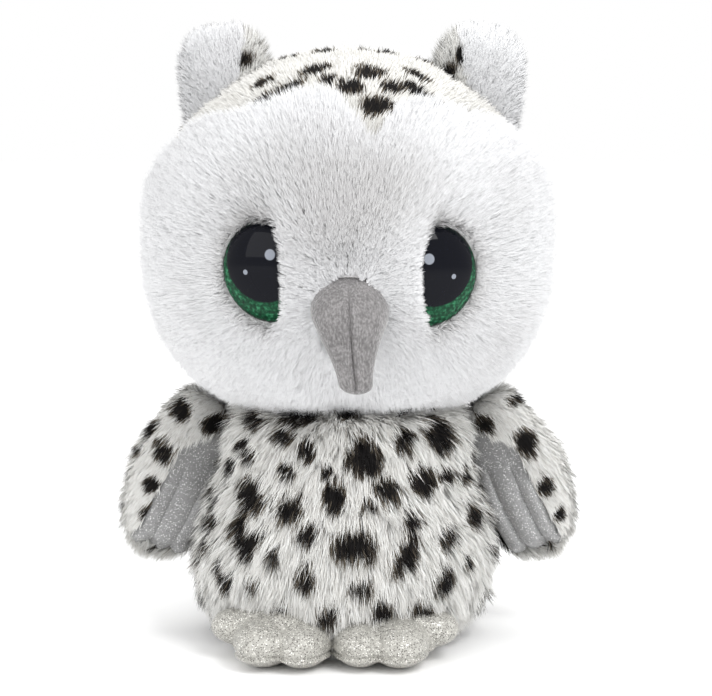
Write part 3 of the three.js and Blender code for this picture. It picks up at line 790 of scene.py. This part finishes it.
# ---- ears ----
EAR_SPOTS = {
    1: ((46.5, 242, 3.0, 4.0, 0), (40.5, 234, 3.2, 5.2, -20), (44, 224, 3.0, 3.6, 0)),
    -1: ((-41.5, 240, 4.5, 3.6, 20), (-46.0, 224, 4.6, 4.4, 30), (-38, 230, 2.0, 2.6, 0)),
}


def ear_form(side):
    rows, cols = 40, 60
    v = np.linspace(-math.pi / 2 + 0.02, math.pi / 2 - 0.02, rows)[:, None]
    u = np.linspace(0, 2 * math.pi, cols, endpoint=False)[None, :]
    half_x, half_y, half_z = EAR["half"]

    def square(value, power):
        return np.sign(value) * np.abs(value) ** power

    x = half_x * square(np.cos(v), 0.42) * square(np.cos(u), 0.8)
    y = half_y * square(np.cos(v), 0.6) * np.sin(u)
    z = half_z * square(np.sin(v), 0.72) + 0 * u
    points = np.stack([x, y, z], -1).reshape(-1, 3) @ turn("Y", side * EAR["lean"]).T
    middle = np.array((side * EAR["x"] + 1.5, AXIS_Y, EAR["z"]))
    form = Form(points + middle, grid_faces(rows, cols, True), middle)
    form.grows = form.verts[:, 2] > 205
    return form


def make_ear(name, side, white, spotted, backing):
    form = ear_form(side)
    skin = new_object(f"ear_backing_{name}", form.verts, form.faces, [backing])
    finish_piece(skin, "head", "white_plush", f"ear_{name}")

    def inside_edge(p):
        return side * (side * EAR["x"] + 1.5 - p[:, 0]) > 5.0 + 0.12 * (p[:, 2] - 240)

    def rear(p):
        return (p[:, 1] > AXIS_Y + 1.0) | inside_edge(p)

    def tone(p, rng):
        depth = spot_depth(p[:, 0], p[:, 2], EAR_SPOTS[side])
        depth = np.where(p[:, 1] > AXIS_Y + 3, spot_depth(p[:, 0], p[:, 2], EAR_STREWN), depth)
        return spotted_tone(depth, p, rng)

    def comb(p):
        return np.stack([side * 0.25 + 0 * p[:, 0], 0 * p[:, 0], 1 + 0 * p[:, 0]], 1)

    def length(p):
        return np.full(len(p), 7.5)

    front = grow(f"ear_front_pile_{name}", form, 17000, 31 + side, lambda p: ~rear(p), comb, length,
                 face_tone_and_painted_shade, white, lift=(74, 50), soft=0.92, gather=0.2)
    finish_piece(front, "head", "white_plush")
    back = grow(f"ear_back_pile_{name}", form, 13000, 35 + side, rear, comb, length,
                tone, spotted, lift=(72, 45))
    finish_piece(back, "head", "spotted_plush")


EAR_STREWN = strewn_spots(17, (-80, 80), (195, 260), 12, (2.4, 4.5))


# ---- eyes ----
def make_eye(name, side):
    rings, around = 26, 72
    angles = np.linspace(0, math.pi / 2, rings)
    profile = [(EYE["r"] - 1.0, -0.2)]
    profile += [(EYE["r"] * math.cos(a), EYE["dome"] * math.sin(a)) for a in angles[:-1]]
    verts = []
    for r, h in profile:
        for k in range(around):
            a = 2 * math.pi * k / around
            verts.append((r * math.cos(a), r * math.sin(a), h))
    faces = grid_faces(len(profile), around, True)
    verts.append((0, 0, EYE["dome"]))
    top = len(verts) - 1
    last = (len(profile) - 1) * around
    faces += [(last + k, last + (k + 1) % around, top) for k in range(around)]
    faces.append(tuple(range(around))[::-1])
    obj = new_object(f"eye_{name}", verts, faces, [eye_gloss(side)])
    centre, axes = eye_frame(side)
    place = Matrix(axes.tolist()).to_4x4()
    place.translation = Vector(centre) * MM
    obj.matrix_world = place
    finish_piece(obj, "head", "eye_gloss", f"eye_dome_{name}")


# ---- beak ----
BEAK = {"top": 161.0, "length": 47.6, "y0": -57.5, "reach": 18.0}
BEAK_WIDTHS = (0.5, 8.4, 11.8, 13.9, 15.0, 15.2, 14.4, 12.9, 11.4, 10.0, 8.8, 7.7, 7.0, 6.5, 6.1)


def make_beak(material):
    rows, cols = 110, 240
    down = np.linspace(0, 1, rows) ** 0.9
    radius = np.interp(down, np.linspace(0, 1, len(BEAK_WIDTHS)), BEAK_WIDTHS)
    kernel = np.ones(5) / 5
    radius[3:-3] = np.convolve(radius, kernel, "same")[3:-3]
    angle = np.linspace(0, 2 * math.pi, cols, endpoint=False)[None, :]
    radius *= np.sqrt(1 - (np.maximum(down - 0.93, 0) / 0.073) ** 2)
    down, radius = down[:, None], radius[:, None]
    forward = BEAK["reach"] * np.sin(math.pi / 2 * down ** 0.8)
    x = radius * np.cos(angle)
    y = radius * np.sin(angle)
    front = y < 0
    fade = smooth(down, 0.05, 0.25) * (1 - smooth(down, 0.93, 1.0))
    groove = -1.1 * np.exp(-((x / 0.5) ** 2)) + 1.0 * np.exp(-(((np.abs(x) - 1.7) / 1.0) ** 2))
    y = y - np.where(front, groove * fade, 0)
    z = BEAK["top"] - BEAK["length"] * down + 0 * angle
    lean = 0.4 + 3.2 * down ** 2
    points = np.stack([x + lean, y + BEAK["y0"] + AXIS_Y - forward, z], -1).reshape(-1, 3)
    faces = grid_faces(rows, cols, True)
    faces.append(tuple(range(cols)))
    faces.append(tuple(range((rows - 1) * cols, rows * cols))[::-1])
    obj = new_object("beak_velour", points, faces, [material])
    finish_piece(obj, "head", "velour", "beak")


# ---- body ----
# Spots on the front of the body: across, height, half width, half height, tilt.
BODY_SPOTS = (
    (-20, 99, 10, 4.2, 18), (-39, 94, 3.5, 3.5, 30), (1, 101, 4.5, 3, 0), (23.5, 101, 2.8, 2.2, 0),
    (36, 102, 3.2, 2, 0), (-45, 101, 2.4, 2, 0), (38, 88, 4.6, 7.2, 35), (6.5, 83, 6.4, 8.4, 20),
    (23, 88, 4.0, 4.0, 0), (-26.5, 89.5, 4, 3.2, 10), (-16.5, 85, 3.8, 4.3, 0), (-44, 83, 2.2, 2.2, 0),
    (-40.5, 79.5, 2.4, 2.2, 30), (-49, 73, 2.0, 2.8, 0), (-8.5, 77, 2.6, 2.9, 0), (-24.5, 76, 3.4, 3.2, 0),
    (-39, 64, 4.9, 6.9, 10), (-5.5, 67, 4.8, 5.4, -20), (-23.5, 61, 5.5, 5.6, -20), (16, 69, 5.4, 5, 0),
    (30.5, 71, 5.0, 5.2, 35), (40.5, 71.5, 3.6, 3, 0), (48.5, 70, 2.4, 2.6, 0), (8, 63, 3.2, 2.8, 0),
    (-44, 50, 4.6, 6.6, 15), (-38.5, 48.5, 3.4, 3.2, 0), (-41, 44.5, 2.8, 5, 0), (-57.5, 59, 2.4, 3.8, 0),
    (-56, 51, 2.2, 2.4, 0), (-16, 52.5, 4.3, 3.8, 0), (26.5, 57, 3.3, 3.2, 0), (41, 48, 3.3, 4.3, -20),
    (52, 54, 3, 4.6, 20), (3, 47.5, 8.3, 6.2, 0), (23, 43.5, 4.4, 7.2, -35), (-30, 42, 2.4, 3.4, 0),
    (-17, 35.5, 3.9, 4.7, 0), (-39, 30, 3, 2.8, 0), (-50, 29, 2.6, 4.2, 10), (39, 31.5, 3.4, 5.4, -25),
    (49, 35.5, 2.2, 2.6, 0), (4, 31.5, 4.5, 3.3, 0), (-59, 41, 2.2, 3.2, 0), (-53, 35, 1.8, 2.2, 0),
    (14, 22, 4, 4, 0), (-8, 20, 4, 4, 0), (30, 18, 4, 5, 0), (-28, 17, 4, 4, 0),
)
BODY_RADIUS = 55.0  # for measuring round the body
BODY_LEAN = 3.0  # how far the seat sits to the owl's right of the neck
SPOT_SIZE = 1.16


def turned_form(profile, rows, cols, middle_z):
    """A form turned about the neck's axis, with its profile drawn through smoothly."""
    profile = np.array(profile, float)
    steps = np.linalg.norm(np.diff(profile, axis=0), axis=1)
    at = np.concatenate([[0], np.cumsum(steps)])
    fine = np.linspace(0, at[-1], rows * 4)
    lines = [np.interp(fine, at, profile[:, i]) for i in range(2)]
    kernel = np.hanning(2 * rows // 5)
    kernel /= kernel.sum()
    pad = len(kernel) // 2
    soft = []
    for line in lines:
        run = np.concatenate([2 * line[0] - line[pad:0:-1], line, 2 * line[-1] - line[-2:-pad - 2:-1]])
        soft.append(np.convolve(run, kernel, "same")[pad:pad + len(line)][::4])
    radius, z = soft[0][:, None], soft[1][:, None]
    angle = np.linspace(0, 2 * math.pi, cols, endpoint=False)[None, :]
    x, y = radius * np.cos(angle), radius * np.sin(angle) + AXIS_Y
    points = np.stack([x, y, z + 0 * angle], -1).reshape(-1, 3)
    return Form(points, grid_faces(len(radius), cols, True), np.array((0, AXIS_Y, middle_z)))


def body_tone(points, rng):
    x, y, z = points.T
    around = np.arctan2(x, AXIS_Y - y) * BODY_RADIUS
    spots = [(u, w, wide * SPOT_SIZE, high * SPOT_SIZE, tilt) for u, w, wide, high, tilt in BODY_SPOTS]
    front = spot_depth(x, z, spots)
    rear = spot_depth(around, z, BODY_STREWN)
    return spotted_tone(np.where(np.abs(around) < 1.25 * BODY_RADIUS, front, rear), points, rng)


BODY_STREWN = strewn_spots(29, (-180, 180), (4, 104), 14.5, (2.6, 6.2))


def down_comb(points):
    x, y, _ = points.T
    return np.stack([0.12 * x / 50, 0 * y, -np.ones_like(x)], 1)


def body_length(points):
    z = points[:, 2]
    return 13.0 - 5.5 * (1 - smooth(z, 4, 22)) - 2.5 * smooth(z, 55, 80)


def make_body(spotted, backing):
    form = turned_form(BODY_PROFILE, 100, 190, 50)
    form.verts[:, 0] -= BODY_LEAN * (1 - form.verts[:, 2] / 98)
    skin = new_object("body_backing", form.verts, form.faces, [backing])
    finish_piece(skin, "torso", "spotted_plush", "body_skin")

    regions = (
        ("belly_pile_left", 34000, lambda p: (p[:, 1] < AXIS_Y - 8) & (p[:, 0] > 0)),
        ("belly_pile_right", 34000, lambda p: (p[:, 1] < AXIS_Y - 8) & (p[:, 0] <= 0)),
        ("back_pile", 36000, lambda p: p[:, 1] >= AXIS_Y - 8),
    )
    for seed, (name, count, where) in enumerate(regions):
        width = 0.42 if name == "back_pile" else 0.3
        pile = grow(name, form, count, 41 + seed, where, down_comb, body_length, body_tone, spotted,
                    lift=(50, 12), width=width, gather=0.5, tuft_jitter=0.15, per_tuft=70)
        finish_piece(pile, "torso", "spotted_plush")
    make_body_filling()


def ring_object(name, profile, cols, material):
    """A closed ring about the neck's axis, from its section as radius and height."""
    angle = np.linspace(0, 2 * math.pi, cols, endpoint=False)
    verts = [(r * math.cos(a), r * math.sin(a) + AXIS_Y, z) for r, z in profile for a in angle]
    faces = grid_faces(len(profile), cols, True)
    last = (len(profile) - 1) * cols
    faces += [(last + k, last + (k + 1) % cols, (k + 1) % cols, k) for k in range(cols)]
    return new_object(name, verts, faces, [material])


def make_body_filling():
    """The fibre between the backing and the housing, as a thick ring."""
    outer = [(r - 3.5, z) for r, z in BODY_PROFILE[1:-2]]
    obj = ring_object("body_fibre", [(41.5, 12), *outer, (34, 86), (41.5, 80)], 96, FIBRE)
    finish_piece(obj, "torso", "fibre_filling", "body_stuffing")


def make_base(material):
    """The cloth ring that closes the underside round the battery door, with a rolled rim."""
    profile = (
        (36.2, 0.2), (35.9, 1.0), (36.3, 1.8), (41, 2.1), (45, 1.9), (45.7, 1.0), (45.2, 0.1), (41, 0.0),
    )
    obj = ring_object("base_cloth_ring", profile, 160, material)
    finish_piece(obj, "torso", "base_cloth", "base_panel")


# ---- wings ----
WING_SPOTS = {
    1: ((57, 88, 4.4, 4.8, 0), (73.5, 81, 5.2, 7.0, 10), (82, 63, 3.8, 4.8, -10), (88, 51, 2.6, 3.2, 0),
        (67, 35, 6.5, 4.5, 0), (71, 98, 4.5, 1.8, 20), (84, 38, 3, 3, 0)),
    -1: ((-70, 94, 4.8, 4.2, -20), (-56, 88, 5.4, 4.8, 0), (-77, 78, 4.2, 6.0, 20), (-83, 86, 2.4, 5.0, -35),
         (-82, 64, 3.8, 3.8, 0), (-88, 77, 2.4, 2.4, 0), (-85, 50, 2.8, 4.4, 0), (-80, 37, 5, 3, 0)),
}
LINING_EDGE = {1: 5.5, -1: 6.0}  # where the fur band starts, outward from the wing's middle line
SHOULDER_TAPER = {1: 0.42, -1: 0.30}
CHANNEL_DEPTH = {1: 3.2, -1: 1.3}


def wing_axes(side):
    return turn("Z", -side * WING["yaw"]) @ turn("Y", -side * WING["lean"])


def in_wing(points, side):
    """Outward, up, and forward of the wing's middle."""
    middle = np.array((side * WING["x"], WING["y"] + AXIS_Y, WING["z"]))
    local = (points - middle) @ wing_axes(side)
    return np.stack([side * local[:, 0], local[:, 2], -local[:, 1]], 1)


def from_wing(p, q, depth, side):
    local = np.stack([side * p, -depth, q], -1).reshape(-1, 3)
    return local @ wing_axes(side).T + (side * WING["x"], WING["y"] + AXIS_Y, WING["z"])


def pad_depth(p, q):
    half_p, half_d, half_q = WING["half"]
    inside = np.clip(1 - np.abs(p / half_p) ** 2.4 - np.abs(q / half_q) ** 2.6, 0, 1)
    return half_d * np.sqrt(inside)


def wing_form(side):
    rows, cols = 60, 80
    v = np.linspace(-math.pi / 2 + 0.02, math.pi / 2 - 0.02, rows)[:, None]
    u = np.linspace(0, 2 * math.pi, cols, endpoint=False)[None, :]
    half_p, half_d, half_q = WING["half"]
    p = half_p * np.cos(v) ** 0.75 * np.cos(u)
    p = np.where(p > 0, p * (1 - SHOULDER_TAPER[side] * smooth(np.sin(v), -0.2, 0.95)), p)
    q = half_q * np.sign(v) * np.abs(np.sin(v)) ** 0.85 + 0 * u
    d = half_d * np.cos(v) ** 0.75 * np.sin(u)
    points = from_wing(p, q, d, side)
    middle = from_wing(np.zeros(1), np.zeros(1), np.zeros(1), side)[0]
    return Form(points, grid_faces(rows, cols, True), middle)


def lining_covers(local, side):
    """Whether a point of the wing lies under the fabric lining, seen from the front."""
    p, q, depth = local.T
    top = 17.0 - 0.5 * p
    return (depth > 0.3) & (p < LINING_EDGE[side] + 0.16 * (5 - q)) & (q < top)


def make_lining(name, side, material):
    rows, cols = 90, 91
    t = np.linspace(0, 1, rows)[:, None]
    u = np.linspace(0, 3, cols)[None, :]
    channel = np.minimum(u.astype(int), 2)
    share = u - channel
    puff = np.abs(np.sin(math.pi * share)) ** 0.6
    top, bottom = 22.0, -33.0
    q = bottom - 2.6 * puff + (top - bottom + 2.6 * puff) * t
    edge = LINING_EDGE[side]
    lines = (
        np.interp(q, (-34, -20, -4, 22), (-11.5, -15.2, -18.6, -19.0)),
        np.interp(q, (-34, -4, 22), (-4.0, -9.4, -12.0)),
        np.interp(q, (-34, -4, 22), (3.4 + 0.3 * edge, -0.4 + 0.2 * edge, -3.0)),
        np.interp(q, (-34, -4, 22), (edge + 7.6, edge + 4.0, edge + 1.0)),
    )
    left = np.choose(channel + 0 * q.astype(int), lines[:3])
    right = np.choose(channel + 0 * q.astype(int), lines[1:])
    p = left + (right - left) * share
    quilt = CHANNEL_DEPTH[side] * puff * (1 - smooth(q, -16, 8))
    rim = smooth(np.minimum(u, 3 - u), 0, 0.35) * smooth(t, 0, 0.05)
    stretched = np.stack([p, q * 0.35, 0 * q], -1).reshape(-1, 3)
    folds = 0.35 * waves(stretched, 3.5, 40 + side).reshape(q.shape)
    depth = pad_depth(p, q) * 0.9 + 0.4 + (0.8 + quilt + folds) * rim
    front = from_wing(p, q, depth, side)
    back = from_wing(p, q, np.minimum(depth - 0.9, pad_depth(p, q) * 0.9 - 0.4), side)
    verts = np.concatenate([front, back])
    count = rows * cols
    faces = grid_faces(rows, cols, False)
    faces += [tuple(i + count for i in face[::-1]) for face in grid_faces(rows, cols, False)]
    border = [j for j in range(cols)] + [i * cols + cols - 1 for i in range(1, rows)]
    border += [(rows - 1) * cols + j for j in range(cols - 2, -1, -1)]
    border += [i * cols for i in range(rows - 2, 0, -1)]
    for a, b in zip(border, border[1:] + border[:1]):
        faces.append((b, a, a + count, b + count))
    obj = new_object(f"wing_lining_{name}", verts, faces, [material])
    finish_piece(obj, f"wing_{name}", "sparkle_fabric", f"wing_{name}_lining")


def make_wing(name, side, spotted, backing):
    form = wing_form(side)
    skin = new_object(f"wing_backing_{name}", form.verts, form.faces, [backing])
    finish_piece(skin, f"wing_{name}", "spotted_plush", f"wing_{name}_back")

    def furred(p):
        return ~lining_covers(in_wing(p, side), side)

    def tone(p, rng):
        local = in_wing(p, side)
        front = spot_depth(p[:, 0], p[:, 2], WING_SPOTS[side])
        rear = spot_depth(local[:, 0], local[:, 1], WING_STREWN)
        return spotted_tone(np.where(local[:, 2] > -3, front, rear), p, rng)

    def comb(p):
        local = in_wing(p, side)
        up = smooth(local[:, 1], 18, 30)
        down = from_wing(0.35 + 0.8 * up, -1 + 0 * up, 0.5 * up, side)
        return down - from_wing(np.zeros(1), np.zeros(1), np.zeros(1), side)

    def length(p):
        local = in_wing(p, side)
        band = smooth(local[:, 2], -1, 2) * smooth(-local[:, 1], -12, 4)
        return 11.5 - 4.0 * band - 3.5 * smooth(local[:, 1], 8, 26)

    pile = grow(f"wing_pile_{name}", form, 26000, 51 + side, furred, comb, length, tone, spotted,
                lift=(50, 14), width=0.34)
    finish_piece(pile, f"wing_{name}", "spotted_plush")


WING_STREWN = strewn_spots(37, (-30, 30), (-40, 40), 13.5, (2.6, 5.2))


# ---- feet ----
FOOT = {"x": {1: 15.8, -1: 24.0}, "heel": -46.0, "splay": {1: 3.0, -1: 14.0}, "seam": 5.0}
# Lobes of the left foot: centre outward from its middle line, centre forward, height, and half sizes.
FOOT_LOBES = (
    (-1.0, -42.0, 15.5, 21.0, 12.0, 11.5), (-10.0, -52.0, 9.6, 11.5, 19.0, 9.8),
    (5.5, -54.0, 9.8, 12.5, 19.0, 10.0), (19.5, -47.0, 13.0, 11.0, 9.5, 7.4),
    (-2.5, -48.0, 12.2, 15.0, 14.0, 11.4), (9.0, -47.0, 12.0, 15.0, 12.0, 10.6),
)


def make_foot(name, side, material):
    mesh = bmesh.new()
    for x, y, z, rx, ry, rz in FOOT_LOBES:
        place = Matrix.Translation((side * x, y, z)) @ Matrix.Diagonal((rx, ry, rz, 1))
        bmesh.ops.create_icosphere(mesh, subdivisions=4, radius=1, matrix=place)
    data = bpy.data.meshes.new(f"foot_{name}")
    mesh.to_mesh(data)
    mesh.free()
    obj = bpy.data.objects.new(f"foot_{name}", data)
    bpy.context.scene.collection.objects.link(obj)
    remesh = obj.modifiers.new("remesh", "REMESH")
    remesh.mode = "VOXEL"
    remesh.voxel_size = 0.6
    soften = obj.modifiers.new("soften", "SMOOTH")
    soften.factor = 0.5
    soften.iterations = 24
    bake_modifiers(obj)
    points = np.array([v.co for v in obj.data.vertices])
    normals = np.array([v.normal for v in obj.data.vertices])
    z = points[:, 2]
    level = z - FOOT["seam"]
    ridge = 1.0 * np.exp(-((level / 0.9) ** 2)) - 0.8 * np.exp(-(((level - 1.9) / 0.6) ** 2))
    sideways = unit(normals * (1, 1, 0.0)) * smooth(-np.abs(normals[:, 2]), -0.95, -0.7)[:, None]
    points += sideways * ridge[:, None]
    points[:, 2] = np.maximum(z, 0.0)
    turned = (points - (0, FOOT["heel"], 0)) @ turn("Z", side * FOOT["splay"][side]).T
    points = turned + (side * FOOT["x"][side] - 1.5, FOOT["heel"] + AXIS_Y, 0)
    obj.data.vertices.foreach_set("co", (points * MM).astype(np.float32).ravel())
    obj.data.update()
    obj.data.materials.append(material)
    obj.data.shade_smooth()
    finish_piece(obj, "torso", "glitter_fabric", f"foot_{name}_upper", f"foot_{name}_sole")


def bake_modifiers(obj):
    """Replaces the mesh by what its modifiers make of it."""
    graph = bpy.context.evaluated_depsgraph_get()
    graph.update()
    made = bpy.data.meshes.new_from_object(obj.evaluated_get(graph))
    obj.modifiers.clear()
    obj.data = made


# ---- parts that stay as the CAD made them, with better finishes ----
CAD_FINISHES = {
    "steel": ("head_shaft", "carrier_pin", "idler_axle", "motor_shaft", "motor", "microphone", "door_screw",
              "housing_screw", "contact"),
    "white": ("head_gear", "neck_bush", "idler_gear", "motor_pinion", "eye_washer"),
    "grey": ("head_carrier", "gear_plate", "housing_front", "housing_back", "battery_box", "battery_door"),
    "dark": ("control_chip", "tact_switch", "speaker", "belly_button", "slide_switch_body", "slide_knob"),
    "board": ("circuit_board",),
    "iris": ("eye_back",),
}


def finish_cad_nodes():
    finishes = {
        "steel": turned_steel(),
        "white": moulded("white_plastic", (0.82, 0.81, 0.78), 0.35, 0.06),
        "grey": moulded("grey_plastic", (0.50, 0.52, 0.55), 0.45),
        "dark": moulded("dark_plastic", (0.024, 0.026, 0.03), 0.45),
        "board": moulded("board_green", (0.012, 0.14, 0.05), 0.45),
        "iris": moulded("iris_green", (0.03, 0.20, 0.09), 0.3, 0.5),
        "cell": moulded("cell_wrap", (0.16, 0.17, 0.19), 0.3, 0.05),
    }
    for name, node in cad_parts.items():
        kinds = [kind for kind, starts in CAD_FINISHES.items() if name.startswith(starts)]
        if not kinds and name.startswith("battery_"):
            kinds = ["cell"]
        if kinds:
            for material_slot in node.material_slots:
                material_slot.material = finishes[kinds[0]]


# ---- surroundings ----
def area_light(name, place, size, power, aim=(0, 0, 0.12), colour=(1, 1, 1)):
    data = bpy.data.lights.new(name, "AREA")
    data.shape = "RECTANGLE"
    data.size, data.size_y = size
    data.energy = power
    data.color = colour
    obj = bpy.data.objects.new(name, data)
    bpy.context.scene.collection.objects.link(obj)
    obj.location = place
    obj.rotation_euler = (Vector(aim) - Vector(place)).to_track_quat("-Z", "Y").to_euler()


def make_stage():
    bpy.ops.mesh.primitive_plane_add(size=6)
    floor = bpy.context.object
    floor.name = "floor"
    floor.data.materials.append(plain("floor", (1.0, 1.0, 1.0), 1.0, Specular_IOR_Level=0.0))
    world = bpy.data.worlds.new("studio")
    world.use_nodes = True
    world.node_tree.nodes["Background"].inputs["Color"].default_value = (1, 1, 1, 1)
    world.node_tree.nodes["Background"].inputs["Strength"].default_value = 1.0
    bpy.context.scene.world = world
    area_light("key", (0.55, -0.7, 0.95), (0.5, 0.5), 6.5)
    area_light("fill", (-0.8, -0.75, 0.5), (0.7, 0.7), 2.5)
    area_light("top", (0.0, 0.1, 1.1), (0.7, 0.7), 3)
    bpy.context.scene.view_settings.view_transform = "Standard"


def make_camera():
    distance, elevation = 1.0, math.radians(8.0)
    target = Vector((0.0032, AXIS_Y * MM, 0.124))
    data = bpy.data.cameras.new("camera")
    data.sensor_width = 36
    data.lens = 121.7
    obj = bpy.data.objects.new("camera", data)
    bpy.context.scene.collection.objects.link(obj)
    back = Vector((0, -math.cos(elevation), math.sin(elevation)))
    obj.location = target + distance * back
    obj.rotation_euler = (-back).to_track_quat("-Z", "Y").to_euler()
    data.shift_y = -0.012
    bpy.context.scene.camera = obj


def main():
    white, spotted = white_palette(), spotted_palette()
    white_backing = knit_backing("white_backing", grey(0.80), grey(0.90))
    cream_backing = knit_backing("cream_backing", (0.60, 0.58, 0.54), (0.74, 0.72, 0.68))
    sparkle, glitter = sparkle_cloth(), glitter_cloth()
    make_head(white, spotted, white_backing)
    make_body(spotted, cream_backing)
    make_beak(velour())
    make_base(knit_backing("base_cloth", (0.66, 0.65, 0.63), (0.80, 0.79, 0.77)))
    for name, side in SIDES:
        make_eye(name, side)
        make_ear(name, side, white, spotted, white_backing)
        make_wing(name, side, spotted, cream_backing)
        make_lining(name, side, sparkle)
        make_foot(name, side, glitter)
    finish_cad_nodes()
    make_stage()
    make_camera()


FIBRE = fibre_filling()
main()
